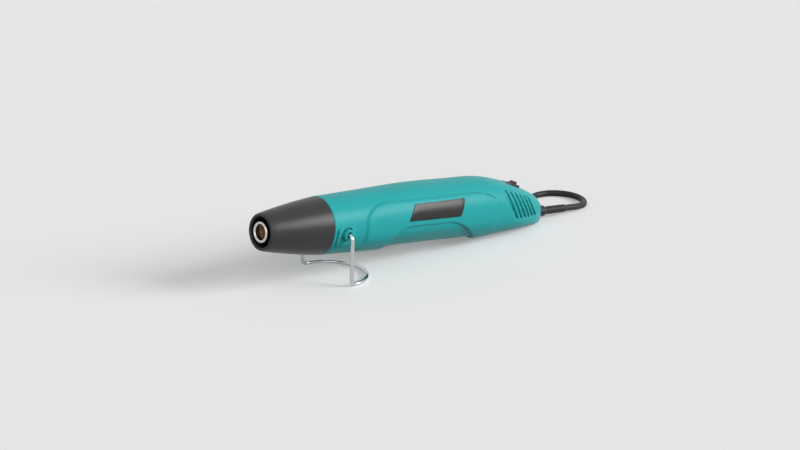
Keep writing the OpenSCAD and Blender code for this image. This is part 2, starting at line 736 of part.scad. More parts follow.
// Stored lead: the free stretch from the relief, a flat coil of two layers, and the stretch to the plug.
// The coil touches two fixed lines, so its size alone follows from the length of the lead.
coil_near_y = 22;
coil_end_x = 19;
coil_step = cord_d + 0.5;
coil_rings = 24;
coil_low_z = cord_d / 2;
coil_high_z = coil_low_z + coil_step;
coil_spread = coil_step * coil_turns / 4;
cord_start = to_row([relief_end, 0, exit_z]);
cord_level = to_row([relief_end + cord_d, 0, exit_z]);
cord_route = concat([cord_start, cord_level], [
    [138.5, 0.2, 3.1], [147.5, 2.4, 2.3], [154.1, 9, 2.1], [156.5, 18, 2.1], [154.1, 27, 2.1],
    [147.5, 33.6, 2.1], [138.5, 36, 2.1], [131, 34.4, 2.1], [122, 30.2, 2.1], [112.6, 25.8, 2.1],
    [104, 23, 2.1], [95.7, 22, 2.1], [86, 22, 2.1], [75, 22, 2.1], [64, 22, 2.1], [50, 22, 2.1],
    [36, 22, 2.1], [22, 22, 2.1], [8, 22, 2.1]
]);
plug_start = [66, 34.8, 6.5];
end_route = [
    [20.3, 43, 6.4], [24.1, 37.3, 5.4], [29.8, 33.6, 4.2], [36.5, 32.4, 3.2], [43, 32.6, 2.9],
    [49, 33.3, 3.8], [55, 34.4, 5.4], [61, 34.8, 6.5], plug_start
];
end_slant = 0.97;
route_last = cord_route[len(cord_route) - 1];
lead_free = run_length(cord_route) + run_length(end_route) + route_last.x - coil_end_x + coil_near_y
    + 2 * coil_spread - end_route[0].y + end_slant;
coil_mid_r = (cord_length - lead_free) / (2 + 2 * coil_turns * coil_rings * sin(180 / coil_rings));
coil_in_r = coil_mid_r - coil_spread;
coil_out_r = coil_mid_r + coil_spread;
coil_x = coil_end_x - coil_out_r;
coil_y = coil_near_y + coil_out_r;
function coil_at(t) =
    let (
        a = -90 - 360 * t,
        r = coil_in_r + coil_step * abs(coil_turns / 2 - t),
        up = (t - coil_turns / 2) * 2 + 0.5
    )
    [coil_x + r * cos(a), coil_y + r * sin(a), coil_low_z + coil_step * step_up(up)];
coil_enter = [coil_x + cord_d, coil_near_y, coil_low_z];
coil_leave = [coil_end_x, coil_y - cord_d, coil_high_z];
coil_path = concat(
    [coil_enter],
    [for (i = [0:coil_turns * coil_rings]) coil_at(i / coil_rings)],
    [coil_leave]
);
cord_path = concat(cord_route, [coil_enter]);
end_path = concat([coil_leave, coil_leave - [0, cord_d / 2, 0]], end_route);
function run_length(p, i = 0) = i >= len(p) - 1 ? 0 : norm(p[i + 1] - p[i]) + run_length(p, i + 1);
module cord() {
    color(near_black) tube_along(cord_path, cord_d / 2, 8, [0, 0, 1]);
}
module cord_coil() {
    color(near_black) tube_along(coil_path, cord_d / 2, 6, [0, 0, 1]);
}
module cord_end() {
    color(near_black) tube_along(end_path, cord_d / 2, 8, [0, 0, 1]);
}
// Least gap from the coil to itself, measured between points more than half a turn apart
coil_gap = min([for (i = [0:len(coil_path) - 1]) for (j = [i + coil_rings / 2:1:len(coil_path) - 1])
    norm(coil_path[i] - coil_path[j])]) - cord_d;
lead_total = run_length(cord_path) + run_length(coil_path) + run_length(end_path);
echo(least_gap_of_coil = coil_gap, lead_length = lead_total, coil_mid_d = 2 * coil_mid_r);

tie_t = 0.8;
tie_w = 6;
module coil_tie() {
    r0 = coil_in_r - cord_d / 2 - tie_t;
    r1 = coil_out_r + cord_d / 2 + tie_t;
    top = coil_high_z + cord_d / 2 + tie_t;
    color("black") translate([coil_x - (r0 + r1) / 2, coil_y, 0]) rotate([90, 0, 0])
        translate([0, 0, -tie_w / 2]) linear_extrude(tie_w) difference() {
            round_rect(-(r1 - r0) / 2, (r1 - r0) / 2, 0, top, 2.5);
            round_rect(-(r1 - r0) / 2 + tie_t, (r1 - r0) / 2 - tie_t, tie_t, top - tie_t, 1.8);
        }
}
// Two-blade plug lying on the table
plug_l = 26;
plug_w = 20;
plug_neck_l = 10;
module plug_body() {
    z = plug_start.z;
    color(near_black) translate(plug_start) {
        on_axis() cylinder(d1 = 5.6, d2 = 9, h = plug_neck_l, $fn = 48);
        translate([plug_neck_l, 0, 0]) rotate([90, 0, 90]) linear_extrude(plug_l - plug_neck_l)
            round_rect(-plug_w / 2, plug_w / 2, -z, z, 4);
    }
}
blade = [16.5, 1.5, 6.3];
blade_gap = 12.7;
module plug_blades() {
    color(brass) translate([plug_start.x + plug_l, plug_start.y, plug_start.z]) for (s = [-1, 1])
        translate([0, s * blade_gap / 2 - blade[1] / 2, -blade[2] / 2]) cube(blade);
}

left_shell();
right_shell();
case_screws();
nose_cone();
nozzle_tube();
mica_sleeve();
element_former();
heating_coil();
element_base();
thermal_cutout();
air_funnel();
fan_duct();
fan_impeller();
motor_shaft();
shaft_bushes();
motor_can();
motor_endcap();
rectifier_board();
board_parts();
heater_leads();
power_leads();
switch_housing();
switch_rocker();
label_plate();
stand_wire();
cord_clamp();
clamp_screws();
cord_tail();
strain_relief();
cord();
cord_coil();
cord_end();
coil_tie();
plug_body();
plug_blades();
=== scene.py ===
import json
from math import acos, atan, copysign, cos, pi, radians, sin

import bmesh
import bpy
import numpy as np
from mathutils import Matrix, Vector


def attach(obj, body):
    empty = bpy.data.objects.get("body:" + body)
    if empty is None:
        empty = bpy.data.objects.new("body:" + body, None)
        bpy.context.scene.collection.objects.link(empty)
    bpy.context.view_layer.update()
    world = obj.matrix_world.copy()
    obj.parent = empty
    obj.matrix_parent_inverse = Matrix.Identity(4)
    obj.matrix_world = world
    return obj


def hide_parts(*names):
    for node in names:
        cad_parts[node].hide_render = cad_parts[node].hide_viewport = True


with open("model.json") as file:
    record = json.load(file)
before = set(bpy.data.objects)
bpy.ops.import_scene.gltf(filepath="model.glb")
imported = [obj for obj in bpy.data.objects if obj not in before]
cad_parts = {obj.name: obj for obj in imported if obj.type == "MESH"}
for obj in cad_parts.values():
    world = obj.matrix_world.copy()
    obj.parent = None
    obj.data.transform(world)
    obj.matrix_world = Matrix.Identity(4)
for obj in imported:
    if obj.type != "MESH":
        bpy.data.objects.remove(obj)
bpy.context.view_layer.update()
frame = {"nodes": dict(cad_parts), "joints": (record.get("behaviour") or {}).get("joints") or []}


# Camera.
# A long lens looks at the left side of the tool, from ahead of its nose and a little above it, and is rolled
# by a degree and a half.
view_azimuth = radians(-41.56)
view_elevation = radians(18.494)
view_roll = radians(1.6525)
view_distance = 1.4747
view_target = Vector((-0.01753, 0, 0.0213))
view_back = Vector((
    sin(view_azimuth) * cos(view_elevation),
    -cos(view_azimuth) * cos(view_elevation),
    sin(view_elevation),
))
view_side = Vector((cos(view_azimuth), sin(view_azimuth), 0))
view_turn = Matrix.Rotation(view_roll, 3, view_back)
view_right = view_turn @ view_side
view_up = view_back.cross(view_right)


def add_object(data, name=None):
    made = bpy.data.objects.new(name or data.name, data)
    bpy.context.collection.objects.link(made)
    return made


camera = add_object(bpy.data.cameras.new("camera"))
camera.data.lens = 106.86
camera.matrix_world = (
    Matrix.Translation(view_target + view_back * view_distance)
    @ Matrix((view_right, view_up, view_back)).transposed().to_4x4()
)
bpy.context.scene.camera = camera


# Mains lead.
# A round black two-core lead, moulded in soft PVC. It leaves the strain relief, turns back along the table
# behind the tool, is wound there into a flat coil of two layers, and ends in the plug.
def put(tree, kind, sockets=None, **settings):
    """Adds a node, with its settings, and with each named input linked to a socket or set to a value."""
    made = tree.nodes.new(kind)
    for key, value in settings.items():
        setattr(made, key, value)
    for key, value in (sockets or {}).items():
        if isinstance(value, bpy.types.NodeSocket):
            tree.links.new(value, made.inputs[key])
        else:
            made.inputs[key].default_value = value
    return made


def new_group(name, kind, inputs, outputs):
    """A node group with named inputs, given as (name, socket type, value), and named outputs."""
    tree = bpy.data.node_groups.new(name, kind)
    for title, socket, value in inputs:
        made = tree.interface.new_socket(name=title, in_out="INPUT", socket_type="NodeSocket" + socket)
        if value is not None:
            made.default_value = value
    for title, socket in outputs:
        tree.interface.new_socket(name=title, in_out="OUTPUT", socket_type="NodeSocket" + socket)
    return tree, tree.nodes.new("NodeGroupInput").outputs, tree.nodes.new("NodeGroupOutput").inputs


def maths(tree, operation, *values):
    return put(tree, "ShaderNodeMath", dict(enumerate(values)), operation=operation).outputs[0]


def noise(tree, where, scale, detail):
    return put(tree, "ShaderNodeTexNoise", {"Vector": where, "Scale": scale, "Detail": detail}).outputs["Fac"]


def new_surface(name, inputs):
    """A shader group that puts out a colour, a roughness and a height, and the places that it reads."""
    outputs = [("Colour", "Color"), ("Roughness", "Float"), ("Height", "Float")]
    tree, given, out = new_group(name, "ShaderNodeTree", inputs, outputs)
    return tree, given, out, put(tree, "ShaderNodeTexCoord").outputs["Object"]


def end_surface(tree, given, out, level, rough, height):
    """Links a surface group's outputs, with its colour scaled by a level."""
    colour = put(tree, "ShaderNodeVectorMath", {0: given["Colour"], "Scale": level}, operation="SCALE")
    tree.links.new(colour.outputs[0], out["Colour"])
    tree.links.new(rough, out["Roughness"])
    tree.links.new(height, out["Height"])
    return tree


def moulded_surface():
    """Shader group: mould grain, drifts of tone and gloss, a painted highlight on edges and painted shade in
    hollows.
    """
    tree, given, out, where = new_surface("Moulded surface", [
        ("Colour", "Color", (0.5, 0.5, 0.5, 1)),
        ("Drift", "Float", 0.05),
        ("Edge light", "Float", 0.1),
        ("Grain size", "Float", 0.0004),
        ("Hollow shade", "Float", 0.1),
        ("Roughness", "Float", 0.35),
        ("Roughness drift", "Float", 0.08),
    ])
    scale = maths(tree, "DIVIDE", 1.0, given["Grain size"])
    grain = noise(tree, where, scale, 3.0)
    slow = noise(tree, where, 60.0, 4.0)
    patch = noise(tree, where, 240.0, 5.0)
    # Painted light from the mesh's pointiness: sharp outer edges are lightened as a painted highlight, and
    # hollows and creases are darkened as painted shade, standing also for a little dust.
    point = put(tree, "ShaderNodeNewGeometry").outputs["Pointiness"]
    edge = put(tree, "ShaderNodeMapRange", {
        "Value": point, "From Min": 0.46, "From Max": 0.54, "To Min": -1.0, "To Max": 1.0}).outputs[0]
    ridge = maths(tree, "MAXIMUM", edge, 0.0)
    hollow = maths(tree, "MINIMUM", edge, 0.0)
    tone = maths(tree, "MULTIPLY", ridge, given["Edge light"])
    tone = maths(tree, "MULTIPLY_ADD", hollow, given["Hollow shade"], tone)
    wave = maths(tree, "ADD", slow, -0.5)
    drift = maths(tree, "MULTIPLY_ADD", wave, given["Drift"], 1.0)
    level = maths(tree, "ADD", tone, drift)
    rough = maths(tree, "ADD", patch, -0.5)
    rough = maths(tree, "MULTIPLY_ADD", rough, given["Roughness drift"], given["Roughness"])
    return end_surface(tree, given, out, level, rough, grain)


moulded = moulded_surface()


def shader(name, colour, metallic=0.0, specular=0.5, bump=0.02, group=None, **values):
    """A material of one Principled shader, fed by a surface group with this finish's own values."""
    material = bpy.data.materials.new(name)
    material.use_nodes = True
    tree = material.node_tree
    principled = tree.nodes["Principled BSDF"]
    surface = put(tree, "ShaderNodeGroup", node_tree=group or moulded)
    surface.inputs["Colour"].default_value = (*colour, 1)
    for key, value in values.items():
        surface.inputs[key.replace("_", " ").capitalize()].default_value = value
    bumped = put(tree, "ShaderNodeBump", {
        "Height": surface.outputs["Height"], "Strength": bump, "Distance": 0.0002})
    tree.links.new(surface.outputs["Colour"], principled.inputs["Base Color"])
    tree.links.new(surface.outputs["Roughness"], principled.inputs["Roughness"])
    tree.links.new(bumped.outputs["Normal"], principled.inputs["Normal"])
    principled.inputs["Metallic"].default_value = metallic
    principled.inputs["Specular IOR Level"].default_value = specular
    material.diffuse_color = (*colour, 1)
    return material


def smooth_line(points, steps=6):
    """A curve through the points, in short straight steps."""
    line = []
    for i in range(len(points) - 1):
        before, a = points[max(i - 1, 0)], points[i]
        b, after = points[i + 1], points[min(i + 2, len(points) - 1)]
        for k in range(steps):
            t = k / steps
            line.append(
                a
                + (b - before) * (t / 2)
                + (2 * before - 5 * a + 4 * b - after) * (t * t / 2)
                + (3 * a - before - 3 * b + after) * (t ** 3 / 2)
            )
    return line + [points[-1]]


def ramp(t):
    """Smooth step from 0 to 1 as t goes from 0 to 1."""
    held = np.clip(t, 0, 1)
    return held * held * (3 - 2 * held)


lead_d = 0.0042
lead_exit = Vector((0.128321, 0, 0.00426))
coil_near_y = 0.022
coil_low_z = lead_d / 2
lead_down = [(0.1325, 0, 0.003839), (0.1385, 0.0002, 0.0031), (0.1475, 0.0024, 0.0023)]
lead_turn = [(0.1541, 0.009), (0.1565, 0.018), (0.1541, 0.027), (0.1475, 0.0336), (0.1385, 0.036),
    (0.131, 0.0344), (0.122, 0.0302), (0.1126, 0.0258), (0.104, 0.023)]
lead_straight = (0.0957, 0.086, 0.075, 0.064, 0.05, 0.036, 0.022, 0.008)
lead_route = [lead_exit] + [Vector(p) for p in (
    lead_down
    + [(x, y, coil_low_z) for x, y in lead_turn]
    + [(x, coil_near_y, coil_low_z) for x in lead_straight]
)]
plug_route = [Vector(p) for p in (
    (0.0203, 0.043, 0.0064), (0.0241, 0.0373, 0.0054), (0.0298, 0.0336, 0.0042), (0.0365, 0.0324, 0.0032),
    (0.043, 0.0326, 0.0029), (0.049, 0.0333, 0.0038), (0.055, 0.0344, 0.0054), (0.061, 0.0348, 0.0065),
    (0.066, 0.0348, 0.0065),
)]
coil_turns = 7.75
coil_gap = 0.0005
coil_step = lead_d + coil_gap
coil_spread = coil_step * coil_turns / 4
coil_end_x = 0.019
coil_mid_r = 0.049958 / 2
coil_out_r = coil_mid_r + coil_spread
coil_centre = Vector((coil_end_x - coil_out_r, coil_near_y + coil_out_r, 0))
coil_rings = 48


def coil_point(t):
    """Centre of the lead after t turns: inwards on the table, a step up, and outwards on the second layer."""
    angle = -pi / 2 - 2 * pi * t
    r = coil_mid_r - coil_spread + coil_step * abs(coil_turns / 2 - t)
    z = coil_low_z + coil_step * ramp((t - coil_turns / 2) * 2 + 0.5)
    return coil_centre + Vector((r * cos(angle), r * sin(angle), z))


coil = [coil_point(i / coil_rings) for i in range(int(coil_turns * coil_rings) + 1)]
coil_in = Vector((coil_centre.x + lead_d, coil_near_y, coil_low_z))
coil_out = coil[-1] - Vector((0, lead_d, 0))
lead_line = (
    smooth_line([*lead_route, coil_in])
    + coil
    + smooth_line([coil_out, coil_out - Vector((0, lead_d / 2, 0)), *plug_route])
)
lead_curve = bpy.data.curves.new("lead", "CURVE")
lead_curve.dimensions = "3D"
lead_curve.bevel_depth = lead_d / 2
lead_curve.bevel_resolution = 5
lead_curve.use_fill_caps = True
spline = lead_curve.splines.new("POLY")
spline.points.add(len(lead_line) - 1)
for point, place in zip(spline.points, lead_line):
    point.co = (*place, 1)
lead = add_object(lead_curve, "mains_lead")
lead_black = shader("lead black", (0.014, 0.014, 0.015), specular=0.3, bump=0.1,
    roughness=0.42, grain_size=0.0003, edge_light=0.0, drift=0.3)
lead_curve.materials.append(lead_black)
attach(lead, "body")
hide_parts("cord", "cord_coil", "cord_end")


# Nose cone.
# Heat-resistant black plastic with a fine satin grain. Its front edge is rounded, its side bulges a little,
# and the halves of the body hold a spigot at its rear. Like every round piece of the tool it is turned by a
# tree: x of an outline point is its radius, and y its distance back from the nose face.
spin = next(joint for joint in frame["joints"] if joint["name"] == "fan_spin")
fan_back = 88
axis_back = Vector(spin["axis"]).normalized()
side_right = Vector((0, 1, 0))
axis_up = axis_back.cross(side_right)
mm = 0.001
tool_frame = (
    Matrix.Translation(Vector(spin["pos_m"]) - axis_back * fan_back * mm)
    @ Matrix((axis_back, side_right, axis_up)).transposed().to_4x4()
    @ Matrix.Scale(mm, 4)
)
row_frame = Matrix.Scale(mm, 4)


def outwards(mesh):
    """Turns the faces of a closed mesh outwards, and drops doubled points."""
    shape = bmesh.new()
    shape.from_mesh(mesh)
    bmesh.ops.remove_doubles(shape, verts=shape.verts, dist=1e-5)
    bmesh.ops.recalc_face_normals(shape, faces=shape.faces)
    shape.to_mesh(mesh)
    shape.free()
    return mesh


def mesh_of(name, points, faces):
    mesh = bpy.data.meshes.new(name)
    mesh.from_pydata([tuple(p) for p in points], [], faces)
    return outwards(mesh)


def plain_mesh(obj):
    """The mesh that an object's modifiers make, with the object itself taken away."""
    shown = obj.evaluated_get(bpy.context.evaluated_depsgraph_get())
    mesh = bpy.data.meshes.new_from_object(shown)
    name = obj.name
    bpy.data.objects.remove(obj)
    mesh.name = name
    return mesh


def combine(mesh, other, operation):
    """Joins, cuts or keeps what is common to two closed meshes."""
    obj = add_object(mesh)
    tool = add_object(other)
    cut = obj.modifiers.new("combine", "BOOLEAN")
    cut.solver = "MANIFOLD"
    cut.operation = operation
    cut.object = tool
    made = plain_mesh(obj)
    bpy.data.objects.remove(tool)
    return made


def joined(name, meshes):
    shape = bmesh.new()
    for mesh in meshes:
        shape.from_mesh(mesh)
    made = bpy.data.meshes.new(name)
    shape.to_mesh(made)
    shape.free()
    return made


def finish_piece(name, mesh, material, slot, *nodes, body="body", place=tool_frame, sharp=38):
    """A piece at its place in the row frame, with its finish, its body and the nodes that it stands for."""
    mesh.transform(place)
    mesh.materials.clear()
    mesh.materials.append(material)
    mesh.polygons.foreach_set("material_index", [0] * len(mesh.polygons))
    mesh.polygons.foreach_set("use_smooth", [True] * len(mesh.polygons))
    mesh.set_sharp_from_angle(angle=radians(sharp))
    mesh.update()
    made = add_object(mesh, name)
    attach(made, body)
    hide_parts(*nodes)


def show_nodes(**finishes):
    """CAD nodes whose own shape is right: each keeps its mesh and takes a finish."""
    for name, finish in finishes.items():
        node = frame["nodes"][name]
        if node.material_slots:
            for place in node.material_slots:
                place.material = finish
        else:
            node.data.materials.append(finish)


def new_shape(name, *inputs):
    """A tree that makes a piece of one material from a mesh of points, with inputs of its own."""
    mesh, material = ("Geometry", "Geometry", None), ("Material", "Material", None)
    return new_group(name, "GeometryNodeTree", [mesh, *inputs, material], [("Geometry", "Geometry")])


def end_shape(tree, given, out, shape):
    real = put(tree, "GeometryNodeRealizeInstances", {"Geometry": shape}).outputs[0]
    finish = put(tree, "GeometryNodeSetMaterial", {"Geometry": real, "Material": given["Material"]})
    tree.links.new(finish.outputs[0], out["Geometry"])
    return tree


def turned_tree():
    """Tree that turns an outline once round the x axis."""
    tree, given, out = new_shape("Turned piece", ("Sides", "Int", 128))
    outline = given["Geometry"]
    count = put(tree, "GeometryNodeAttributeDomainSize", {"Geometry": outline}).outputs["Point Count"]
    rows = maths(tree, "ADD", count, 1.0)
    columns = maths(tree, "ADD", given["Sides"], 1.0)
    grid = put(tree, "GeometryNodeMeshGrid", {
        "Size X": 1.0, "Size Y": 1.0, "Vertices X": columns, "Vertices Y": rows}).outputs["Mesh"]
    place = put(tree, "GeometryNodeInputPosition").outputs[0]
    part = put(tree, "ShaderNodeSeparateXYZ", {0: place}).outputs
    along = maths(tree, "ADD", part["Y"], 0.5)
    step = maths(tree, "MULTIPLY", along, count)
    step = maths(tree, "ROUND", step)
    index = maths(tree, "MODULO", step, count)
    point = put(tree, "GeometryNodeSampleIndex", {
        "Geometry": outline, "Value": place, "Index": index}, data_type="FLOAT_VECTOR").outputs["Value"]
    point = put(tree, "ShaderNodeSeparateXYZ", {0: point}).outputs
    turn = maths(tree, "MULTIPLY", part["X"], 2 * pi)
    across = maths(tree, "COSINE", turn)
    high = maths(tree, "SINE", turn)
    y = maths(tree, "MULTIPLY", across, point["X"])
    z = maths(tree, "MULTIPLY", high, point["X"])
    spot = put(tree, "ShaderNodeCombineXYZ", {"X": point["Y"], "Y": y, "Z": z}).outputs[0]
    skin = put(tree, "GeometryNodeSetPosition", {"Geometry": grid, "Position": spot}).outputs[0]
    closed = put(tree, "GeometryNodeMergeByDistance", {"Geometry": skin, "Distance": 0.0005}).outputs[0]
    return end_shape(tree, given, out, closed)


def grown(mesh, tree, **values):
    """The closed mesh that a tree of nodes makes from a mesh, with the tree's named inputs set."""
    obj = add_object(mesh)
    modifier = obj.modifiers.new(tree.name, "NODES")
    modifier.node_group = tree
    for item in tree.interface.items_tree:
        key = item.name.lower().replace(" ", "_")
        if item.in_out == "INPUT" and key in values:
            modifier[item.identifier] = values[key]
    return outwards(plain_mesh(obj))


turned_piece = turned_tree()


def outline_mesh(name, points):
    """Points joined in order, for a tree to turn or to sweep."""
    mesh = bpy.data.meshes.new(name)
    mesh.from_pydata([(*p, 0)[:3] for p in points], [(i, i + 1) for i in range(len(points) - 1)], [])
    return mesh


def turned(name, outline, material, sides=128):
    return grown(outline_mesh(name, outline), turned_piece, sides=sides, material=material)


def arc(centre, r, start, end, steps=8):
    """Points on an arc of an outline, from one angle to another in degrees."""
    angles = [radians(start + (end - start) * i / steps) for i in range(steps + 1)]
    return [(centre[0] + r * cos(a), centre[1] + r * sin(a)) for a in angles]


nose_l = 43
nose_front_r = 11.3
nose_rear_r = 17.8
nose_wall = 2
spigot_l = 7
spigot_r = 15.65


def nose_r(x):
    t = x / nose_l
    return nose_front_r + (nose_rear_r - nose_front_r) * (1.33 * t - 0.33 * t * t)


nose_black = shader("nose black", (0.038, 0.038, 0.039), specular=0.3, bump=0.25,
    roughness=0.34, roughness_drift=0.06, grain_size=0.00035, edge_light=0.05, drift=0.1)
lip_r = nose_wall / 2
nose_steps = [nose_l * i / 40 for i in range(2, 41)]
nose_outline = (
    arc((nose_front_r - lip_r, lip_r * 0.9), lip_r, -180, 0, 14)
    + [(nose_r(x), x) for x in nose_steps[:-1]]
    + [(nose_rear_r - 0.03, nose_l - 0.35), (nose_rear_r - 0.3, nose_l)]
    + [(spigot_r, nose_l), (spigot_r, nose_l + spigot_l), (spigot_r - nose_wall, nose_l + spigot_l)]
    + [(nose_r(x) - nose_wall, x) for x in reversed(nose_steps)]
)
nose = turned("nose", nose_outline, nose_black, 192)
finish_piece("nose_cone_shell", nose, nose_black, "nose_black", "nose_cone")


# Nozzle tube.
# Thin bright steel tube down the middle of the nose, with its front edge rolled inwards to a round rim and
# its rear edge flanged out against the rib that holds it.
def brushed_surface():
    """Shader group: fine turning or drawing lines along one direction, with drifts of tone and gloss."""
    tree, given, out, where = new_surface("Brushed surface", [
        ("Colour", "Color", (0.6, 0.6, 0.6, 1)),
        ("Stretch", "Vector", (4000, 150, 150)),
        ("Drift", "Float", 0.1),
        ("Roughness", "Float", 0.25),
        ("Roughness drift", "Float", 0.1),
    ])
    drawn = put(tree, "ShaderNodeMapping", {"Vector": where, "Scale": given["Stretch"]}).outputs[0]
    lines = noise(tree, drawn, 1.0, 4.0)
    cloud = noise(tree, where, 150.0, 3.0)
    both = maths(tree, "ADD", lines, cloud)
    wave = maths(tree, "ADD", both, -1.0)
    level = maths(tree, "MULTIPLY_ADD", wave, given["Drift"], 1.0)
    rough = maths(tree, "MULTIPLY_ADD", wave, given["Roughness drift"], given["Roughness"])
    return end_surface(tree, given, out, level, rough, lines)


brushed = brushed_surface()
tube_r = 6.5
tube_l = 58
tube_wall = 0.5
tube_roll_r = 0.9
tube_flange_r = 8.6
tube_flange_t = 0.8
tube_bore_r = tube_r - tube_wall
roll_centre = (tube_r - tube_roll_r, 0.5)
tube_steel = shader("tube steel", (0.62, 0.61, 0.6), metallic=1.0, bump=0.1, group=brushed,
    roughness=0.2, stretch=(5000, 200, 200))
tube_outline = (
    arc(roll_centre, tube_roll_r, 64, 360, 30)
    + [(tube_r, 10), (tube_r, 30), (tube_r, tube_l), (tube_flange_r, tube_l)]
    + [(tube_flange_r, tube_l + tube_flange_t), (tube_bore_r, tube_l + tube_flange_t), (tube_bore_r, 30)]
)
tube = turned("tube", tube_outline, tube_steel)
finish_piece("nozzle_tube_rolled", tube, tube_steel, "tube_steel", "nozzle_tube")


# Heating element.
# A resistance wire wound over two crossed mica plates inside a mica sleeve, on a pale ceramic spider, with a
# small thermal cut-out. The wire is swept by a tree that thickens any line into a closed round wire.
def wire_tree():
    """Tree that sweeps a round wire along a line."""
    tree, given, out = new_shape("Round wire", ("Radius", "Float", 1.0), ("Sides", "Int", 24))
    line = put(tree, "GeometryNodeMeshToCurve", {"Mesh": given["Geometry"]}).outputs[0]
    ring = put(tree, "GeometryNodeCurvePrimitiveCircle", {
        "Resolution": given["Sides"], "Radius": given["Radius"]}).outputs["Curve"]
    tube = put(tree, "GeometryNodeCurveToMesh", {
        "Curve": line, "Profile Curve": ring, "Fill Caps": True}).outputs[0]
    return end_shape(tree, given, out, tube)


def mica_surface():
    """Shader group: overlapping flakes of mica, each a little lighter or darker, with scorched patches."""
    tree, given, out, where = new_surface("Mica flakes", [
        ("Colour", "Color", (0.3, 0.17, 0.07, 1)),
        ("Flake size", "Float", 0.0012),
        ("Scorch", "Float", 0.5),
        ("Roughness", "Float", 0.3),
    ])
    scale = maths(tree, "DIVIDE", 1.0, given["Flake size"])
    flake = put(tree, "ShaderNodeTexVoronoi", {"Vector": where, "Scale": scale}).outputs["Color"]
    tint = put(tree, "ShaderNodeSeparateXYZ", {0: flake}).outputs["X"]
    burn = noise(tree, where, 130.0, 5.0)
    dark = maths(tree, "MULTIPLY", burn, given["Scorch"])
    light = maths(tree, "MULTIPLY_ADD", tint, 0.7, 0.9)
    level = maths(tree, "SUBTRACT", light, dark)
    rough = maths(tree, "MULTIPLY_ADD", tint, 0.25, given["Roughness"])
    return end_surface(tree, given, out, level, rough, tint)


round_wire = wire_tree()


def wire(name, points, radius, material, sides=24):
    return grown(outline_mesh(name, points), round_wire, radius=radius, sides=sides, material=material)


mica = shader("mica", (0.42, 0.24, 0.1), specular=0.6, bump=0.3, group=mica_surface(), roughness=0.3)
ceramic = shader("ceramic", (0.72, 0.68, 0.6), specular=0.4, bump=0.2,
    roughness=0.6, grain_size=0.0005, drift=0.2, edge_light=0.05)
heating_wire = shader("heating wire", (0.2, 0.17, 0.15), metallic=1.0, group=brushed,
    roughness=0.45, stretch=(900, 900, 900), drift=0.6)
winding_turns = 13
winding_r = 4.8
winding_from = 11
winding_to = 50
winding_wire_r = 0.3
winding_pitch = (winding_to - winding_from) / (2 * pi * winding_turns)
winding = [
    (winding_from + winding_pitch * a, winding_r * cos(a), winding_r * sin(a))
    for a in np.linspace(0, 2 * pi * winding_turns, winding_turns * 24 + 1)
]
finish_piece("element_winding", wire("winding", winding, winding_wire_r, heating_wire, 10), heating_wire,
    "heating_wire", "heating_coil")
show_nodes(mica_sleeve=mica, element_former=mica, element_base=ceramic, thermal_cutout=tube_steel)


# Body shells.
# The body is moulded in teal plastic as a left and a right half, which meet on the middle plane. Each has a
# raised side panel, a hollow for the fingers below it, air slots at its rear and a pad where the stand's wire
# goes in. The moulded skin is made fine, and the ribs, bosses and rails inside come from the frame's solids.
body_top = [(43, 17.8), (82, 19.2), (116, 20.4), (150, 20), (173, 19.5), (190, 16.6), (206, 11.4), (220, 5.7),
    (228, 0)]
body_bottom = [(43, -17.8), (85, -18.8), (125, -19.3), (166, -19.6), (188, -17.9), (204, -16.6), (218, -16),
    (228, -15.9)]
body_half_w = [(43, 17.8), (60, 18.1), (100, 19.2), (150, 19.4), (180, 18.8), (200, 17.6), (212, 14.4),
    (221, 10.8), (228, 6.6)]
section_power = [(43, 2), (100, 2.15), (190, 2.3), (228, 2.9)]
body_end = 231
end_r = 3
body_flat = body_end - end_r
skin_t = 1.2
panel_rise = 0.8
grip_depth = 1.9
vent_depth = 0.35
notch_depth = 0.45
rim_round = 0.7
seam_chamfer = 0.22
slot_count = 6
slot_half_w = 0.8
pivot_x = 52
pivot_z = -1.5
exit_z = -8.6
exit_hole_r = 3.75
screw_well_r = 2.6
fill_depth = 0.6
grip_front = 101.5
grip_rear = 137
grip_fade = 10
vent_line = [(-8, 197), (-4, 193), (1.6, 189.6), (4.7, 187.6), (8, 185.7), (11.8, 183.4), (13.8, 181.2),
    (15.9, 177.7), (17.4, 173.4)]
vent_rear = 212
vent_top = 17
panel_front = 86
panel_front_reach = 19.5
panel_rear = 158
panel_rear_reach = 21
panel_middle_z = 4
panel_half_h = 10.8
screw_places = [(57, 12.2), (57, -12.2), (141, -7), (168, 11.6), (200, -10.5)]


def along(table, x):
    """Smooth curve through a table of (distance, value), as an array of values at x."""
    place, value = (np.array(part, float) for part in zip(*table))
    slope = np.empty_like(value)
    slope[1:-1] = (value[2:] - value[:-2]) / (place[2:] - place[:-2])
    slope[0] = (value[1] - value[0]) / (place[1] - place[0])
    slope[-1] = (value[-1] - value[-2]) / (place[-1] - place[-2])
    i = np.clip(np.searchsorted(place, x, side="right") - 1, 0, len(place) - 2)
    h = place[i + 1] - place[i]
    t = (x - place[i]) / h
    return (
        (2 * t ** 3 - 3 * t ** 2 + 1) * value[i] + (t ** 3 - 2 * t ** 2 + t) * h * slope[i]
        + (3 * t ** 2 - 2 * t ** 3) * value[i + 1] + (t ** 3 - t ** 2) * h * slope[i + 1]
    )


def panel_reach(x, z):
    """How far a point is lengthways and upwards from the panel's middle stretch, of 1 at the panel's edge."""
    front = (panel_front - x) / panel_front_reach
    rear = np.maximum(0, (x - panel_rear) / panel_rear_reach)
    return np.where(x < panel_front, front, rear), np.maximum(0, (z - panel_middle_z) / panel_half_h)


def panel_mask(x, z):
    """1 on the raised panel, 0 off it. Its edge is crisp at the top and rear and soft at the front."""
    ex, ez = panel_reach(x, z)
    top = ramp(np.arctan2(ez, ex) / (pi / 2))
    rear = x > 120
    width = np.where(rear, 0.06 + 0.1 * top, 0.12 + 0.04 * top)
    middle = np.where(rear, 0.88 + 0.02 * top, 0.9)
    return ramp((middle + width / 2 - np.hypot(ex, ez)) / width) * ramp((z + 14) / 10)


